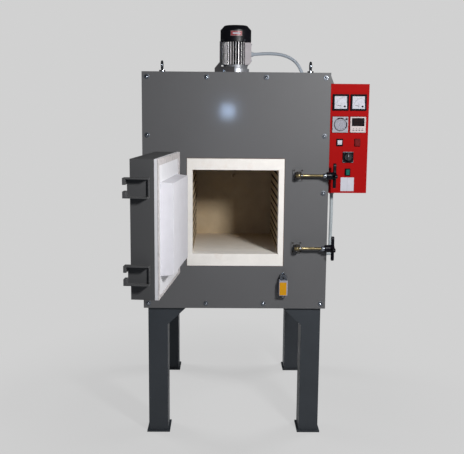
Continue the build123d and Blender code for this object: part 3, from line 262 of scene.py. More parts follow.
# Painted shade: dark brown for the gap around the chamber collar.
surface("gap_shade", (0.13, 0.055, 0.03), 0.8, mottle=(40, 0.3))
surface("label_pink", (0.34, 0.20, 0.20), 0.4, mottle=(60, 0.1))
surface("print_grey", (0.07, 0.075, 0.085), 0.5, mottle=(80, 0.1), grain=(600, 0.1, 0.1))
surface("screen_black", (0.008, 0.008, 0.010), 0.6, mottle=(60, 0.1), grain=(600, 0.05, 0.1),
        Specular_IOR_Level=0.03)
surface("bezel_black", (0.005, 0.005, 0.007), 0.6, mottle=(60, 0.2), grain=(600, 0.1, 0.1), Specular_IOR_Level=0.05)
surface("grip_black", (0.003, 0.003, 0.006), 0.36, mottle=(40, 0.2), grain=(500, 0.1, 0.1), Specular_IOR_Level=0.15)
surface("terminal_grey", (0.50, 0.465, 0.485), 0.6, mottle=(24, 0.06), grain=(300, 0.3, 0.3),
        Specular_IOR_Level=0.15)
surface("fin_alloy", (0.80, 0.78, 0.79), 0.42, 0.50, mottle=(30, 0.12), grain=(260, 0.35, 0.4),
        Specular_IOR_Level=0.3)
surface("digit_dim", (0.035, 0.014, 0.012), 0.6, mottle=(80, 0.2), Specular_IOR_Level=0.03)
surface("controller_pink", (0.52, 0.455, 0.45), 0.45, mottle=(40, 0.05), Specular_IOR_Level=0.3)
surface("glass", (0.9, 0.95, 1.0), 0.08, mottle=(30, 0.02), grain=(300, 0.02, 0.1), Alpha=0.05)


# ---- making pieces --------------------------------------------------------------
def settle(piece, body, material, replaced=()):
    """Give a piece its material and body, and hide the nodes it stands for."""
    if material is not None:
        piece.data.materials.clear()
        piece.data.materials.append(MATERIALS[material] if isinstance(material, str) else material)
    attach(piece, body)
    if replaced:
        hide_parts(*replaced)
    return piece


def soften(piece, width, segments=2, angle=32):
    """Smooth shading with sharp corners rounded by a bevel."""
    mesh = piece.data
    mesh.shade_smooth()
    mesh.set_sharp_from_angle(angle=math.radians(angle))
    if width:
        bevel = piece.modifiers.new("edges", "BEVEL")
        bevel.width = width * MM
        bevel.segments = segments
        bevel.limit_method = "ANGLE"
        bevel.angle_limit = math.radians(angle)
        bevel.harden_normals = True
    return piece


def dress(name, width=0.8, segments=2, material=None):
    """Copy of a CAD node's mesh with clean faces, rounded edges and its finish."""
    mesh = NODES[name].data.copy()
    work = bmesh.new()
    work.from_mesh(mesh)
    bmesh.ops.remove_doubles(work, verts=work.verts, dist=1e-6)
    bmesh.ops.dissolve_limit(work, angle_limit=math.radians(0.6), verts=work.verts, edges=work.edges)
    work.to_mesh(mesh)
    work.free()
    piece = bpy.data.objects.new(name + "_dressed", mesh)
    scene.collection.objects.link(piece)
    settle(piece, BODY_OF[name], material or SLOT_OF[name], [name])
    return soften(piece, width, segments)


class Shape:
    """Mesh under construction, in millimetres in the row frame."""

    def __init__(self):
        """Start with an empty mesh."""
        self.bm = bmesh.new()

    def add(self, points, faces):
        """Faces over a list of points."""
        verts = [self.bm.verts.new(point) for point in points]
        for face in faces:
            self.bm.faces.new([verts[i] for i in face])
        return self

    def box(self, low, high):
        """Block between two corners."""
        (x0, y0, z0), (x1, y1, z1) = low, high
        points = [(x, y, z) for x in (x0, x1) for y in (y0, y1) for z in (z0, z1)]
        return self.add(points, [(0, 1, 3, 2), (4, 6, 7, 5), (0, 4, 5, 1), (2, 3, 7, 6), (0, 2, 6, 4), (1, 5, 7, 3)])

    def prism(self, outline, origin, across, up, depth):
        """Flat outline in a plane, pushed along a vector."""
        origin, across, up, depth = Vector(origin), Vector(across), Vector(up), Vector(depth)
        base = [origin + across * a + up * b for a, b in outline]
        points = base + [point + depth for point in base]
        n = len(base)
        faces = [tuple(range(n - 1, -1, -1)), tuple(range(n, 2 * n))]
        faces += [(i, (i + 1) % n, n + (i + 1) % n, n + i) for i in range(n)]
        return self.add(points, faces)

    def turned(self, profile, origin, axis, sides=48):
        """Solid of revolution; profile is (radius, distance along the axis)."""
        axis = Vector(axis).normalized()
        across = axis.orthogonal().normalized()
        up = axis.cross(across)
        origin = Vector(origin)
        points, faces = [], []
        for radius, along in profile:
            for k in range(sides):
                turn = 2 * math.pi * k / sides
                points.append(origin + axis * along + radius * (across * math.cos(turn) + up * math.sin(turn)))
        for r in range(len(profile) - 1):
            for k in range(sides):
                m = (k + 1) % sides
                faces.append((r * sides + k, r * sides + m, (r + 1) * sides + m, (r + 1) * sides + k))
        last = (len(profile) - 1) * sides
        faces += [tuple(range(sides - 1, -1, -1)), tuple(range(last, last + sides))]
        return self.add(points, faces)

    def made(self, name, material, body="furnace", slot=None, replaced=(), width=0.4, segments=2, angle=32):
        """Finish the mesh as a piece of the object."""
        bmesh.ops.recalc_face_normals(self.bm, faces=self.bm.faces)
        mesh = bpy.data.meshes.new(name)
        self.bm.to_mesh(mesh)
        self.bm.free()
        mesh.transform(Matrix.Scale(MM, 4))
        piece = bpy.data.objects.new(name, mesh)
        scene.collection.objects.link(piece)
        settle(piece, body, material, replaced)
        return soften(piece, width, segments, angle)


# ---- conduits -----------------------------------------------------------------
def flexible(name, points, radius, replaced, material="conduit_plastic"):
    """Conduit on one smooth curve through the air between two glands."""
    curve = bpy.data.curves.new(name, "CURVE")
    curve.dimensions = "3D"
    curve.bevel_depth = radius * MM
    curve.bevel_resolution = 8
    curve.use_fill_caps = True
    spline = curve.splines.new("NURBS")
    spline.points.add(len(points) - 1)
    for control, (x, y, z) in zip(spline.points, points):
        control.co = (x * MM, y * MM, z * MM, 1)
    spline.order_u = 3
    spline.use_endpoint_u = True
    spline.resolution_u = 24
    piece = bpy.data.objects.new(name, curve)
    scene.collection.objects.link(piece)
    curve.materials.append(MATERIALS[material])
    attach(piece, "furnace")
    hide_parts(replaced)


make_camera()
flexible("motor_conduit_hose",
         [(84, MOTOR_Y, 1820.5), (130, MOTOR_Y, 1824.5), (180, MOTOR_Y + 2, 1825.5), (230, MOTOR_Y + 2, 1820.5),
          (278, MOTOR_Y, 1801), (312, MOTOR_Y, 1768), (327, MOTOR_Y, 1733)], 7.5, "motor_conduit")
flexible("control_conduit_hose",
         [(SIDE_X, SIDE_Y, 1161), (SIDE_X + 1, SIDE_Y + 1, 1112), (SIDE_X + 2, SIDE_Y + 4, 1057),
          (SIDE_X + 1, SIDE_Y + 5, 1001), (SIDE_X, SIDE_Y + 3, 950), (SIDE_X, SIDE_Y, 903)],
         8, "control_conduit", "conduit_pale")

# ---- shared details -----------------------------------------------------------------
LEFT, RIGHT, CENTRE = 480.0, 562.0, 521.0
METERS_Z, TIMER_Z, ROCKER_Z, CAM_Z = 1590.0, 1489.0, 1407.0, 1339.0


def ring(shape, x, z, inner, outer, y0, y1, start=0.0, sweep=360.0, steps=48):
    """Flat annulus or arc facing the front, from depth y0 back to y1; angles run from +X towards +Z."""
    outline = []
    for radius, order in ((outer, range(steps + 1)), (inner, range(steps, -1, -1))):
        for k in order:
            turn = math.radians(start + sweep * k / steps)
            outline.append((radius * math.cos(turn), radius * math.sin(turn)))
    points = [(x + a, y, z + b) for y in (y0, y1) for a, b in outline]
    n, half = len(outline), steps + 1
    faces = []
    for k in range(steps):
        quad = (k, k + 1, n - 2 - k, n - 1 - k)
        faces += [quad, tuple(n + i for i in reversed(quad))]
        faces += [(k, n + k, n + k + 1, k + 1), (n - 2 - k, 2 * n - 2 - k, 2 * n - 1 - k, n - 1 - k)]
    if sweep < 360:
        faces += [(0, n - 1, 2 * n - 1, n), (half - 1, n + half - 1, n + half, half)]
    shape.add(points, faces)


def bar(shape, x, z, start, end, angle, width, y0, y1):
    """Straight mark along a radius of a scale."""
    turn = math.radians(angle)
    along, side = (math.cos(turn), math.sin(turn)), (-math.sin(turn), math.cos(turn))
    outline = [(r * along[0] + s * side[0], r * along[1] + s * side[1])
               for r, s in ((start, -width / 2), (end, -width / 2), (end, width / 2), (start, width / 2))]
    shape.prism(outline, (x, y0, z), (1, 0, 0), (0, 0, 1), (0, y1 - y0, 0))


def figures(shape, text, size, x, y, z):
    """Digits of a scale, facing the front."""
    curve = bpy.data.curves.new("figures", "FONT")
    curve.body = text
    curve.size = size
    curve.align_x = "CENTER"
    curve.align_y = "CENTER"
    curve.resolution_u = 2
    carrier = bpy.data.objects.new("figures", curve)
    mesh = bpy.data.meshes.new_from_object(carrier)
    mesh.transform(Matrix.Translation((x, y, z)) @ Matrix.Rotation(math.pi / 2, 4, "X"))
    shape.bm.from_mesh(mesh)
    bpy.data.objects.remove(carrier)


def screw_head(shape, place, axis, radius, height):
    """Low round screw head with a hexagon socket."""
    r, h = radius, height
    profile = [(r, 0), (r, h * 0.35), (r * 0.92, h * 0.72), (r * 0.66, h), (r * 0.48, h), (r * 0.42, h * 0.35)]
    shape.turned(profile, place, axis, 18)


def hexagon(shape, place, axis, radius, height, sides=6):
    """Hexagon nut or head with chamfered corners."""
    profile = [(radius, 0), (radius, height * 0.82), (radius * 0.9, height)]
    shape.turned(profile, place, axis, sides)


def rounded(width, height, radius, steps=5):
    """Outline of a rectangle with round corners."""
    outline = []
    for quarter, (sx, sz) in enumerate(((1, 1), (-1, 1), (-1, -1), (1, -1))):
        for k in range(steps + 1):
            turn = math.radians(90 * quarter + 90 * k / steps)
            outline.append((sx * (width / 2 - radius) + radius * math.cos(turn),
                            sz * (height / 2 - radius) + radius * math.sin(turn)))
    return outline


def card(shape, x, z, width, height, radius, y0, y1):
    """Thin rounded plate facing the front."""
    shape.prism(rounded(width, height, radius), (x, y0, z), (1, 0, 0), (0, 0, 1), (0, y1 - y0, 0))


def ring_frame(shape, x, z, outer, inner, y0, y1):
    """Square frame facing the front."""
    a, b = outer / 2, inner / 2
    for x0, x1, z0, z1 in ((-a, a, b, a), (-a, a, -a, -b), (-a, -b, -b, b), (b, a, -b, b)):
        shape.box((x + x0, y0, z + z0), (x + x1, y1, z + z1))


# ---- case ---------------------------------------------------------------------------
def case_details():
    """Washers under the dome nuts, screws and louvres on the rear cover, and screws on the sides."""
    washers = Shape()
    for x, z in [(sx * x, z) for x in (407.0, 135.67) for sx in (-1, 1) for z in (645.0, 1699.0)] + [
            (sx * 407.0, z) for sx in (-1, 1) for z in (908.5, 1172.0, 1435.5)]:
        washers.turned([(8.2, -0.2), (12, -0.2), (12, 1.1), (11.2, 1.5), (8.2, 1.5)], (x, FRONT, z), (0, -1, 0), 32)
    washers.made("nut_washers", "washer_zinc", slot="zinc", width=0)
    rear = Shape()
    for x in [-400 + 160 * k for k in range(6)]:
        for z in (640, 1704):
            screw_head(rear, (x, 515, z), (0, 1, 0), 7, 4)
    for z in [640 + 177.3 * k for k in range(1, 6)]:
        for x in (-412, 412):
            screw_head(rear, (x, 515, z), (0, 1, 0), 7, 4)
    for side in (-1, 1):
        for y in [-480 + 160 * k for k in range(7)]:
            for z in (640, 1704):
                if side < 0 or not (-505 < y < -290 and z > 1600):
                    screw_head(rear, (side * 430, y, z), (side, 0, 0), 7, 4)
    for x in (-410, 410):
        for y in (-430, -250, -70, 110, 290, 470):
            screw_head(rear, (x, y, TOP), (0, 0, 1), 7, 4)
    rear.made("cover_screws", "zinc", width=0)
    slats = Shape()
    for bank in (-215, 215):
        for k in range(8):
            for z0 in (760, 1500):
                z = z0 + 20 * k
                outline = [(0, 0), (6, 1.5), (6.6, 4), (5, 7.5), (1.5, 12), (0, 14)]
                slats.prism(outline, (bank - 75, 514.8, z), (0, 1, 0), (0, 0, 1), (150, 0, 0))
    slats.made("rear_louvres", "case_paint", width=0.6)
    hatch = Shape()
    hatch.prism(rounded(520, 460, 14), (0, 514.8, 1082), (1, 0, 0), (0, 0, 1), (0, 9, 0))
    hatch.made("rear_terminal_cover", "case_paint", width=1.6)
    # Black cards on the cover stand in for vent slots: painted shade of the openings.
    slots = Shape()
    for row in range(3):
        for k in range(15):
            slots.prism(rounded(9, 46, 4.4), (-196 + 28 * k, 523.75, 950 + 132 * row),
                        (1, 0, 0), (0, 0, 1), (0, 0.4, 0))
    slots.made("rear_cover_slot_shade", "black_plastic", width=0)
    hatch_screws = Shape()
    for x in (-242, 0, 242):
        for z in (870, 1294):
            screw_head(hatch_screws, (x, 523.8, z), (0, 1, 0), 6, 4)
    hatch_screws.made("rear_cover_screws", "zinc", width=0)
    # Dark brown strips just outside the collar: painted shade of the gap between the collar and the front plate.
    rims = Shape()
    for z0, z1 in ((825.8, 827.4), (1330.6, 1332.2)):
        rims.box((-225.6, FRONT + 0.1, z0), (225.6, FRONT + 2, z1))
    for x0 in (-227, 225.4):
        rims.box((x0, FRONT + 0.1, 825.8), (x0 + 1.6, FRONT + 2, 1332.2))
    rims.made("collar_gap_shade", "gap_shade", slot="refractory", width=0)


# ---- motor -----------------------------------------------------------------------------
def motor_details():
    """Cowl with a grille, blank label plate, flange bolts, terminal box lid and gland nuts."""
    cowl = Shape()
    cowl.turned([(75, 1876), (75, 1934), (56, 1955), (53, 1955), (53, 1951.5), (72, 1932), (72, 1876)],
                (0, MOTOR_Y, 0), (0, 0, 1), 72)
    cowl.made("cowl_shell", "black_plastic", slot="black_plastic", replaced=["motor_cowl"], width=1.0)
    grille = Shape()
    for radius in (8, 17, 26, 35, 44):
        grille.turned([(radius - 1.6, 1951.2), (radius - 1.6, 1954), (radius + 1.6, 1954), (radius + 1.6, 1951.2)],
                      (0, MOTOR_Y, 0), (0, 0, 1), 48)
    for k in range(8):
        turn = math.pi * k / 4
        along = Vector((math.cos(turn), math.sin(turn), 0))
        across = Vector((-along.y, along.x, 0))
        grille.prism([(5, -2), (54, -2), (54, 2), (5, 2)], (0, MOTOR_Y, 1951), along, across, (0, 0, 2.6))
    grille.made("cowl_grille", "black_plastic", width=0)
    core, fins = Shape(), Shape()
    # The core between the fins is near black: painted shade in the gaps between the fins.
    core.turned([(11.1, 1769), (60, 1769), (60, 1876), (11.1, 1876)], (0, MOTOR_Y, 0), (0, 0, 1), 72)
    core.made("stator_core_shade", "bezel_black", slot="motor_aluminium", replaced=["motor_body"], width=0)
    for k in range(32):
        turn = 2 * math.pi * k / 32
        along = Vector((math.cos(turn), math.sin(turn), 0))
        if along.x * 70 > 43 and abs(along.y * 70) < 56:
            continue
        across = Vector((-along.y, along.x, 0))
        outline = [(59, -1.9), (69.3, -1.4), (70, -0.8), (70, 0.8), (69.3, 1.4), (59, 1.9)]
        fins.prism(outline, (0, MOTOR_Y, 1769), along, across, (0, 0, 107))
    fins.made("stator_fins", "fin_alloy", slot="motor_aluminium", width=0)
    # Black disc under the grille: painted shade inside the cowl.
    dark = Shape()
    dark.turned([(0.5, 1944), (57, 1944), (57, 1945), (0.5, 1945)], (0, MOTOR_Y, 0), (0, 0, 1), 40)
    dark.made("cowl_inside_shade", "needle", slot="black_plastic", width=0)
    screws = Shape()
    for turn in (35, 125, 215, 305):
        a = math.radians(turn)
        out = Vector((math.cos(a), math.sin(a), 0))
        screw_head(screws, Vector((0, MOTOR_Y, 1884)) + out * 74.8, out, 4, 2)
    for turn in (45, 135, 225, 315):
        a = math.radians(turn)
        hexagon(screws, (57 * math.cos(a), MOTOR_Y + 57 * math.sin(a), 1736), (0, 0, 1), 7.5, 6)
    for y in (-48, 48):
        hexagon(screws, (-90, MOTOR_Y + y - 6 * (1 if y > 0 else -1) * 2, 1730), (0, 0, 1), 8, 6)
    hexagon(screws, (-57, MOTOR_Y - 75.4, 1735), (0, -1, 0), 8, 6)
    screws.made("motor_screws", "zinc", width=0.3)
    for name, material, slot, r, half, z0, z1 in (
            ("motor_label_plate", "label_pink", "white_plastic", 75.5, 21.5, 1903, 1926),
            ("motor_label_band", "label_red", "lamp_red", 75.9, 19.5, 1906, 1923),
            ("motor_label_blank", "white_plastic", "white_plastic", 76.2, 14, 1910.5, 1918.5)):
        label = Shape()
        steps = 12
        points, faces = [], []
        for radius in (74.6, r):
            for k in range(steps + 1):
                turn = math.radians(-half + 2 * half * k / steps + 1.5)
                for z in (z0, z1):
                    points.append((radius * math.sin(turn), MOTOR_Y - radius * math.cos(turn), z))
        n = 2 * (steps + 1)
        for k in range(steps):
            a = 2 * k
            faces += [(a, a + 2, a + 3, a + 1), (n + a, n + a + 1, n + a + 3, n + a + 2)]
            faces += [(a, n + a, n + a + 2, a + 2), (a + 1, a + 3, n + a + 3, n + a + 1)]
        faces += [(0, 1, n + 1, n), (n - 2, 2 * n - 2, 2 * n - 1, n - 1)]
        label.add(points, faces)
        label.made(name, material, slot=slot, width=0)
    lid = Shape()
    lid.prism(rounded(100, 90, 6), (72.6, MOTOR_Y, 1827), (0, 1, 0), (0, 0, 1), (2.4, 0, 0))
    face_y = MOTOR_Y - 53
    for x0, x1, z0, z1 in ((47, 70, 1868, 1869.4), (47, 66, 1774, 1775.4),
                           (47, 48.2, 1774, 1869), (69, 70.2, 1786, 1869)):
        lid.box((x0, face_y - 0.7, z0), (x1, face_y + 0.4, z1))
    ring(lid, 58.5, 1857, 4.6, 6.6, face_y - 0.9, face_y + 0.4)
    lid.made("terminal_lid", "terminal_grey", slot="motor_aluminium", width=0.3)
    lid_screws = Shape()
    for y in (-43, 43):
        for z in (1789, 1865):
            screw_head(lid_screws, (74.9, MOTOR_Y + y, z), (1, 0, 0), 4, 2.6)
    lid_screws.made("terminal_screws", "zinc", width=0)
    nuts = Shape()
    for place, axis in (((75, MOTOR_Y, 1820.5), (1, 0, 0)), ((327, MOTOR_Y, TOP), (0, 0, 1)),
                        ((SIDE_X, SIDE_Y, 1172), (0, 0, -1)), ((SIDE_X, SIDE_Y, 899), (0, 0, 1)),
                        ((300, 515, 720), (0, 1, 0))):
        big = 1.5 if place[1] == 515 else 1.0
        hexagon(nuts, place, axis, 12.8 * big, 4)
        nuts.turned([(10.6 * big, 5.5), (11.4 * big, 5.5), (11.4 * big, 10.5), (10.6 * big, 11.6)], place, axis, 12)
    nuts.made("gland_nuts", "conduit_plastic", width=0.4)


# ---- control panel ------------------------------------------------------------------------
def panel_details():
    """Faces, scales and marks of the instruments, frames of the switches, and a blank plate."""
    faces, marks, covers, dots, frames = Shape(), Shape(), Shape(), Shape(), Shape()
    for x in (LEFT, RIGHT):
        px, pz = x + 18, METERS_Z - 18
        card(faces, x, METERS_Z, 61.6, 61.6, 1.5, -503.14, -502.9)
        ring_frame(frames, x, METERS_Z, 72.6, 57.5, -508.6, -507.9)
        ring(marks, px, pz, 39.6, 40.2, -503.2, -503.12, 92, 80)
        for k in range(31):
            angle = 172 - 80 * k / 30
            long_mark = k % 5 == 0
            bar(marks, px, pz, 36.2 if long_mark else 37.8, 40, angle, 0.75 if long_mark else 0.4, -503.2, -503.12)
        for k, value in enumerate(("0", "10", "20", "30", "40", "50")):
            turn = math.radians(172 - 16 * k)
            if k < 5:
                figures(marks, value, 4.6, px + 44.0 * math.cos(turn), -503.16, pz + 44.0 * math.sin(turn))
        covers.prism(rounded(29, 27, 2), (x + 16.2, -507.4, METERS_Z - 17.2), (1, 0, 0), (0, 0, 1), (0, 2.4, 0))
        covers.box((x - 30.8, -507.0, METERS_Z - 30.8), (x + 2, -506.2, METERS_Z - 26))
        dots.turned([(4.6, 0), (4.6, 1.0), (3.8, 1.5), (1.2, 1.6)], (px, -507.3, pz), (0, -1, 0), 24)
    faces.made("meter_faces", "white_plastic", width=0)
    frames.made("meter_frames", "bezel_black", slot="black_plastic", width=0.2)
    marks.made("meter_scales", "print_grey", slot="black_plastic", width=0)
    covers.made("meter_covers", "white_plastic", width=0.3)
    dots.made("meter_zero_screws", "bezel_black", slot="black_plastic", width=0)
    for side, x in (("left", LEFT), ("right", RIGHT)):
        px, pz = x + 18, METERS_Z - 18
        pointer = Shape()
        turn = math.radians(172)
        along, across = Vector((math.cos(turn), 0, math.sin(turn))), Vector((math.sin(turn), 0, -math.cos(turn)))
        pointer.prism([(-6, -1.2), (12, -1.9), (33.5, -1.2), (34, 0), (33.5, 1.2), (12, 1.9), (-6, 1.2)],
                      (px, -504.2, pz), along, across, (0, 0.8, 0))
        pointer.turned([(5, 0), (5, 0.6), (4.2, 1.0)], (px, -503.3, pz), (0, -1, 0), 24)
        pointer.made(f"meter_pointer_{side}", "needle", body=f"ammeter_needle_{side}",
                     replaced=[f"ammeter_needle_{side}"], width=0)
    # time switch
    plate = Shape()
    ring(plate, LEFT, TIMER_Z, 26.6, 30.6, -508.5, -507.9)
    plate.made("timer_ring", "print_grey", slot="grey_plastic", width=0)
    segments = Shape()
    for start, sweep in ((61, 26), (91, 30), (-32, 50)):
        ring(segments, LEFT, TIMER_Z, 26.4, 31.6, -509.1, -508.4, start, sweep, 12)
    segments.prism([(-6.5, -4.6), (6.5, -5.6), (1.5, 6.0)], (LEFT + 28, -509.6, TIMER_Z + 27), (1, 0, 0), (0, 0, 1),
                   (0, 1.2, 0))
    segments.made("timer_segments", "bezel_black", slot="black_plastic", width=0.2)
    dial = Shape()
    dial.turned([(5, 0.3), (25.4, 0.3), (26, 0.9), (26, 4.6), (25, 5.4), (23.4, 5.4), (22.6, 4.4), (16.4, 4.4),
                 (15.8, 5.2), (12.6, 5.2), (12, 4.5), (7.0, 4.5), (6.4, 6.6), (3.6, 7.2), (0.8, 7.3)],
                (LEFT, -508, TIMER_Z), (0, -1, 0), 72)
    dial.turned([(5, -7.7), (5, 0.4)], (LEFT, -508, TIMER_Z), (0, -1, 0), 32)
    dial.made("timer_dial_disc", "grey_plastic", body="timer_dial", replaced=["timer_dial"], width=0)
    ticks = Shape()
    for k in range(48):
        bar(ticks, LEFT, TIMER_Z, 18.6 if k % 4 else 17.2, 22.2, 7.5 * k, 0.7 if k % 4 else 1.0, -512.5, -512.3)
    for k in range(8):
        turn = math.radians(90 - 45 * k)
        figures(ticks, str(3 * k or 24), 3.6, LEFT + 14.2 * math.cos(turn), -513.3, TIMER_Z + 14.2 * math.sin(turn))
    ring(ticks, LEFT, TIMER_Z, 8.2, 8.9, -512.6, -512.4)
    bar(ticks, LEFT, TIMER_Z, 0, 6.0, 60, 1.4, -515.4, -514.9)
    ticks.made("timer_dial_marks", "print_grey", body="timer_dial", slot="black_plastic", width=0)
    # temperature controller
    screen = Shape()
    card(screen, RIGHT, TIMER_Z + 12, 58, 37, 2, -508.5, -507.8)
    screen.made("controller_screen", "screen_black", slot="black_plastic", width=0)
    digits = Shape()
    for row, (z, size) in enumerate(((TIMER_Z + 19, 11.0), (TIMER_Z + 5, 8.0))):
        for k in range(4):
            x = RIGHT - 15 + 10.5 * k
            w, h = size * 0.42, size * 0.5
            for dx, dz, length, upright in ((0, h, w, 0), (0, 0, w, 0), (0, -h, w, 0), (-w / 1.6, h / 2, h * 0.8, 1),
                                            (w / 1.6, h / 2, h * 0.8, 1), (-w / 1.6, -h / 2, h * 0.8, 1),
                                            (w / 1.6, -h / 2, h * 0.8, 1)):
                half_w, half_h = (0.6, length / 2) if upright else (length / 2, 0.6)
                digits.box((x + dx - half_w, -508.62, z + dz - half_h), (x + dx + half_w, -508.45, z + dz + half_h))
    digits.made("controller_digits", "digit_dim", slot="black_plastic", width=0)
    keys = Shape()
    for k in range(4):
        x = RIGHT - 20.5 + 13.7 * k
        card(keys, x, TIMER_Z - 25, 8.5, 4.6, 1.4, -509.1, -507.8)
        card(keys, x, TIMER_Z - 16.8, 6.5, 2.2, 0.8, -508.3, -507.9)
    keys.made("controller_keys", "print_grey", slot="black_plastic", width=0.2)
    rim = Shape()
    for x0, x1, z0, z1 in ((-35.5, 35.5, 34, 35.5), (-35.5, 35.5, -35.5, -34),
                           (-35.5, -34, -34, 34), (34, 35.5, -34, 34)):
        rim.box((RIGHT + x0, -509.0, TIMER_Z + z0), (RIGHT + x1, -507.9, TIMER_Z + z1))
        rim.box((LEFT + x0, -508.8, TIMER_Z + z0), (LEFT + x1, -507.9, TIMER_Z + z1))
    rim.made("instrument_rims", "controller_pink", slot="white_plastic", width=0.3)
    seats = Shape()
    for x in (LEFT, RIGHT):
        for z in (METERS_Z, TIMER_Z):
            card(seats, x, z, 75, 75, 2.5, -500.9, -499.9)
    card(seats, RIGHT, ROCKER_Z, 27, 35, 2, -503.5, -499.9)
    seats.made("instrument_gaskets", "bezel_black", slot="black_plastic", width=0.2)
    # switches, lamp, blank plate
    cam = Shape()
    for x0, x1, z0, z1 in ((-25, 25, 22.6, 25), (-25, -13, -25, -22.6), (13, 25, -25, -22.6), (-25, -23.4, -25, -12),
                           (23.4, 25, -25, -12)):
        cam.box((CENTRE + x0, -505.5, CAM_Z + z0), (CENTRE + x1, -504.8, CAM_Z + z1))
    for k in range(5):
        bar(cam, CENTRE, CAM_Z, 18.5, 21.5, 90 - 22.5 * k, 1.0, -505.3, -504.9)
    cam.made("cam_switch_trim", "zinc", width=0)
    line = Shape()
    line.box((CENTRE - 0.9, -521.6, CAM_Z + 3), (CENTRE + 0.9, -521.0, CAM_Z + 13))
    line.made("cam_switch_line", "white_plastic", body="cam_switch_knob", width=0.2)
    split = Shape()
    split.turned([(3.2, 0), (3.2, 0.4), (2.4, 0.6)], (LEFT, -503.95, ROCKER_Z + 1), (0, -1, 0), 16)
    split.made("rocker_mark", "label_pink", slot="lamp_red", body="rocker", width=0)
    lens = Shape()
    for k in range(6):
        lens.box((RIGHT - 10.3, -509.5, ROCKER_Z - 13.4 + 4.6 * k), (RIGHT + 10.3, -508.6, ROCKER_Z - 10.6 + 4.6 * k))
    lens.made("lamp_ribs", "lamp_red", width=0.4)
    blank = Shape()
    card(blank, CENTRE, 1213, 62, 64, 1.5, -501.1, -499.9)
    blank.made("blank_plate", "white_plastic", width=0.3)
    # Grey line down the blank plate: painted shade of a crease.
    crease = Shape()
    crease.box((CENTRE - 0.4, -501.25, 1182), (CENTRE + 0.4, -501.0, 1244))
    crease.made("blank_plate_crease_shade", "grey_plastic", width=0)
    panes = Shape()
    for x in (LEFT, RIGHT):
        card(panes, x, METERS_Z, 61.6, 61.6, 1, -507.95, -507.6)
    panes.made("meter_glass", "glass", slot="white_plastic", width=0)
    box_screws = Shape()
    for z in (1190, 1423, 1656):
        screw_head(box_screws, (595, -400, 1674 if z > 1600 else 1172), (0, 0, 1 if z > 1600 else -1), 4, 2.4)
    for z in (1200, 1646):
        for x in (459, 593):
            screw_head(box_screws, (x, -297, z), (0, 1, 0), 4.5, 2.6)
    box_screws.made("control_box_screws", "zinc", width=0)


# ---- latches ---------------------------------------------------------------------------------
def star_outline(arms=4, tip=57.0, waist=15.0, width=19.0):
    """Outline of a grip with rounded arms and hollow flanks between them."""
    outline = []
    for arm in range(arms):
        base = 2 * math.pi * arm / arms
        for across, out in ((-0.5, 0.30), (-0.46, 0.52), (-0.5, 0.76), (-0.47, 0.88), (-0.33, 0.96), (-0.12, 1.0),
                            (0.12, 1.0), (0.33, 0.96), (0.47, 0.88), (0.5, 0.76), (0.46, 0.52), (0.5, 0.30)):
            a, b = out * tip, across * width
            outline.append((a * math.cos(base) - b * math.sin(base), a * math.sin(base) + b * math.cos(base)))
        flank = base + math.pi / arms
        outline.append((waist * math.cos(flank), waist * math.sin(flank)))
    return outline


def latch(name, z):
    """Swing bolt with its thread, ferrule and star grip."""
    x, y = LATCH_X, LATCH_Y
    on_bolt, on_knob = f"latch_bolt_{name}", f"latch_knob_{name}"
    bolt = Shape()
    bolt.turned([(6.15, -6.5), (11.8, -6.5), (13, -5.4), (13, 5.4), (11.8, 6.5), (6.15, 6.5),
                 (6.05, 6.0), (6.05, -6.0)], (x, y, z), (0, 0, 1), 48)
    shank = [(7.6, 9), (7.6, 16), (6.5, 19), (6.5, 52)]
    at = 52.0
    while at < 114:
        shank += [(6.5, at + 0.6), (5.7, at + 1.25), (6.5, at + 1.9)]
        at += 2.5
    shank += [(6.5, 116.5), (6.5, 153), (5.6, 154.6)]
    bolt.turned(shank, (x, y, z), (1, 0, 0), 28)
    bolt.made(f"swing_bolt_{name}", "zinc_yellow", body=on_bolt, replaced=[on_bolt], width=0.3, angle=50)
    ferrule = Shape()
    ferrule.turned([(6.6, 112.5), (9.6, 112.5), (10.6, 113.5), (11, 117), (11, 126), (10, 126.6), (6.6, 126.6)],
                   (x, y, z), (1, 0, 0), 36)
    ferrule.made(f"bolt_ferrule_{name}", "zinc", body=on_bolt, width=0.3)
    stud = Shape()
    stud.turned([(4.2, 0), (4.2, 2), (3.4, 3.4), (1.6, 4.2), (0.5, 4.3)], (x + 15, y - 6.4, z + 0.5), (0, -1, 0), 24)
    stud.made(f"bolt_stud_{name}", "zinc", body=on_bolt, width=0)
    grip = Shape()
    grip.prism(star_outline(), (445.5, y, z), (0, 1, 0), (0, 0, 1), (14, 0, 0))
    grip.made(f"star_grip_{name}", "grip_black", slot="black_plastic", body=on_knob, replaced=[on_knob],
              width=3.6, segments=4, angle=50)
    hub = Shape()
    hub.turned([(6.56, 415), (15.4, 415), (17, 416.6), (17, 436), (16.4, 440), (19, 446), (19, 458),
                (15.2, 460), (11, 461), (4, 461.5), (0.6, 461.5)], (0, y, z), (1, 0, 0), 40)
    hub.made(f"grip_hub_{name}", "grip_black", slot="black_plastic", body=on_knob, width=0.4)


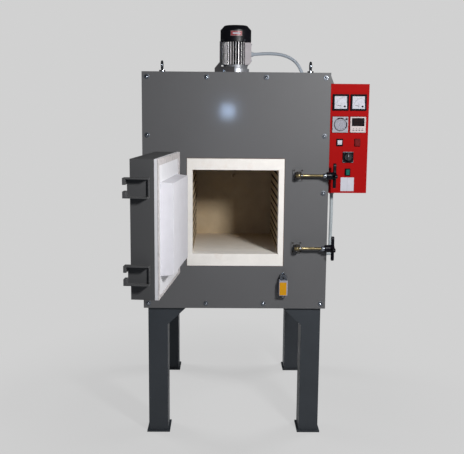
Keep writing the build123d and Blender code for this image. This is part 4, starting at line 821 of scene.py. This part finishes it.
def latch_brackets():
    """Painted base plates with screws, and dark clevis ears."""
    bases, ears, screws = Shape(), Shape(), Shape()
    for z in LATCHES.values():
        bases.prism(rounded(50, 56, 4), (LATCH_X, FRONT - 5, z), (1, 0, 0), (0, 0, 1), (0, 5, 0))
        for side in (-1, 1):
            z0 = z + 6.9 if side > 0 else z - 12.9
            outline = [(13 * math.cos(math.radians(180 + 10 * k)), 13 * math.sin(math.radians(180 + 10 * k)))
                       for k in range(19)]
            outline += [(13, 20), (16, 27), (16, 29), (-16, 29), (-16, 27), (-13, 20)]
            ears.prism(outline, (LATCH_X, LATCH_Y, z0), (1, 0, 0), (0, 1, 0), (0, 0, 6))
        for dx in (-18, 18):
            for dz in (-21, 21):
                screw_head(screws, (LATCH_X + dx, FRONT - 5, z + dz), (0, -1, 0), 4.2, 2.6)
    ears.made("latch_ears", "dark_steel", replaced=["latch_brackets"], width=0.8)
    bases.made("latch_bases", "case_paint", width=0.8)
    screws.made("latch_screws", "dark_steel", width=0)


# ---- door and its switch -----------------------------------------------------------------------
def on_door(shape):
    """Swing a mesh drawn on the closed door to the door's rest position."""
    turn = Matrix.Rotation(math.radians(-DOOR_OPEN), 4, "Z")
    axis = Vector((HINGE_X, HINGE_Y, 0))
    shape.bm.transform(Matrix.Translation(axis) @ turn @ Matrix.Translation(-axis))
    return shape


def door_details():
    """Fixing screws on the door's outer face and hinge leaves, and its raised outer panel."""
    screws = Shape()
    for z in (845, 1091, 1338):
        for x in (-225, 0, 225):
            screw_head(screws, (x, DOOR_FACE, z), (0, -1, 0), 6, 3.6)
    for z in (890, 946, 1229, 1285):
        for d in (-28, 14):
            screw_head(screws, (HINGE_X + 40, HINGE_Y + d * 0.7, z), (-1, 0, 0), 5, 3)
    on_door(screws).made("door_screws", "zinc", body="door", width=0)
    stiffener = Shape()
    stiffener.prism(rounded(440, 470, 18), (0, DOOR_FACE - 0.2, 1091.5), (1, 0, 0), (0, 0, 1), (0, -1.6, 0))
    on_door(stiffener).made("door_outer_panel", "case_paint", body="door", width=1.0)


def switch_details():
    """Grey housing, plain yellow front, metal head, screws and lower gland of the door switch."""
    x = 227.0
    housing, front_card, head, screws = Shape(), Shape(), Shape(), Shape()
    housing.prism(rounded(40, 72, 3), (x, FRONT - 42, 730), (1, 0, 0), (0, 0, 1), (0, 42, 0))
    housing.turned([(9, 0), (9, 3), (7.6, 4), (7.6, 10), (6, 11.5), (3.5, 12)], (x, FRONT - 21, 694), (0, 0, -1), 24)
    housing.made("switch_housing", "grey_plastic", replaced=["door_switch"], width=1.0)
    card(front_card, x - 2, 727, 32, 61, 1.5, FRONT - 42.7, FRONT - 41.8)
    front_card.made("switch_front", "switch_yellow", width=0.2)
    head.prism([(-16, 0), (16, 0), (16, 19), (11, 26), (5, 26), (5, 22), (-5, 22), (-5, 26), (-11, 26), (-16, 19)],
               (x, FRONT - 34, 766), (1, 0, 0), (0, 0, 1), (0, 34, 0))
    head.made("switch_head", "zinc", slot="grey_plastic", width=0.8)
    screws.turned([(4.6, 0), (4.6, 1.2), (3.8, 1.6)], (x, FRONT - 34, 777), (0, -1, 0), 20)
    screws.made("switch_head_screw", "black_plastic", width=0)


case_details()
motor_details()
panel_details()
for latch_name, latch_z in LATCHES.items():
    latch(latch_name, latch_z)
latch_brackets()
door_details()
switch_details()

# ---- CAD nodes with their finish --------------------------------------------------
FINISH = {"chamber_collar": "collar_cast", "pivot_pins": "dark_steel", "door_plug": "plug_board",
          "conduit_glands": "conduit_pale", "motor_bracket": "black_iron", "ammeters": "bezel_black",
          # the door shell and catch brackets take the darker copy of the case paint, which paints shade
          "switch_frames": "bezel_black", "cam_switch_plate": "bezel_black", "door_shell": "door_shaded_paint",
          "catch_brackets": "door_shaded_paint", "motor_terminal_box": "terminal_grey",
          "chamber_side_left": "grooved_wall", "chamber_side_right": "grooved_wall",
          "chamber_floor": "hearth", "temperature_controller": "controller_pink"}
for cad_node in sorted(NODES):
    if not NODES[cad_node].hide_render:
        dress(cad_node, material=FINISH.get(cad_node))


# ---- floor, backdrop and light --------------------------------------------------
def pale(tree, rest, strength, rays=("Is Camera Ray", "Is Transmission Ray")):
    """Emission of the background's colour for the named kinds of ray."""
    glow = node(tree, "Emission", Color=(0.638, 0.638, 0.638, 1), Strength=1.0)
    path = tree.nodes.new("ShaderNodeLightPath")
    seen = None
    for ray in rays:
        if seen is None:
            seen = path.outputs[ray]
            continue
        both = tree.nodes.new("ShaderNodeMath")
        both.operation = "MAXIMUM"
        tree.links.new(seen, both.inputs[0])
        tree.links.new(path.outputs[ray], both.inputs[1])
        seen = both.outputs[0]
    mix = tree.nodes.new("ShaderNodeMixShader")
    tree.links.new(times(tree, seen, strength), mix.inputs[0])
    tree.links.new(rest, mix.inputs[1])
    tree.links.new(glow.outputs[0], mix.inputs[2])
    return mix.outputs[0]


def make_floor():
    """Pale floor that fades into the background away from the object."""
    mesh = bpy.data.meshes.new("floor")
    mesh.from_pydata([(-30, -30, 0), (30, -30, 0), (30, 30, 0), (-30, 30, 0)], [], [(0, 1, 2, 3)])
    floor = bpy.data.objects.new("floor", mesh)
    scene.collection.objects.link(floor)
    material = bpy.data.materials.new("floor_pale")
    material.use_nodes = True
    tree = material.node_tree
    tree.nodes.clear()
    matte = node(tree, "BsdfDiffuse", Color=(0.66, 0.66, 0.66, 1))
    coord = tree.nodes.new("ShaderNodeTexCoord").outputs["Object"]
    length = tree.nodes.new("ShaderNodeVectorMath")
    length.operation = "LENGTH"
    tree.links.new(coord, length.inputs[0])
    fade = spread(tree, length.outputs["Value"], 0.80, 1.0, 0.8, 1.6)
    out = node(tree, "OutputMaterial")
    tree.links.new(pale(tree, matte.outputs[0], fade), out.inputs[0])
    mesh.materials.append(material)


def make_world():
    """Soft surrounding light, with the background's colour for the camera."""
    world = bpy.data.worlds.new("studio")
    scene.world = world
    world.use_nodes = True
    tree = world.node_tree
    tree.nodes.clear()
    soft = node(tree, "Background", Color=(0.95, 0.97, 1.0, 1), Strength=0.045)
    out = node(tree, "OutputWorld")
    tree.links.new(pale(tree, soft.outputs[0], 1.0), out.inputs[0])


def area(name, place, target, size, power, colour=(1, 1, 1), shines=True):
    """Square softbox aimed at a point."""
    light = bpy.data.lights.new(name, "AREA")
    light.size = size
    light.energy = power
    light.color = colour
    lamp = bpy.data.objects.new(name, light)
    lamp.location = place
    lamp.rotation_mode = "QUATERNION"
    lamp.rotation_quaternion = (Vector(target) - Vector(place)).to_track_quat("-Z", "Y")
    lamp.visible_camera = False
    lamp.visible_glossy = shines
    scene.collection.objects.link(lamp)


make_floor()
make_world()
area("key", (0.92, -2.325, 2.012), (0.0, -0.4, 1.15), 0.28, 43)
area("flash", (-0.014, -4.08, 1.54), (0.0, -0.5, 1.4), 0.10, 3, (0.50, 0.68, 1.0))
area("rear_left", (-2.6, 1.3, 2.1), (-0.2, 0.2, 1.1), 1.4, 60, shines=False)
area("rear_right", (2.6, 1.3, 2.1), (0.2, 0.2, 1.1), 1.4, 60, shines=False)
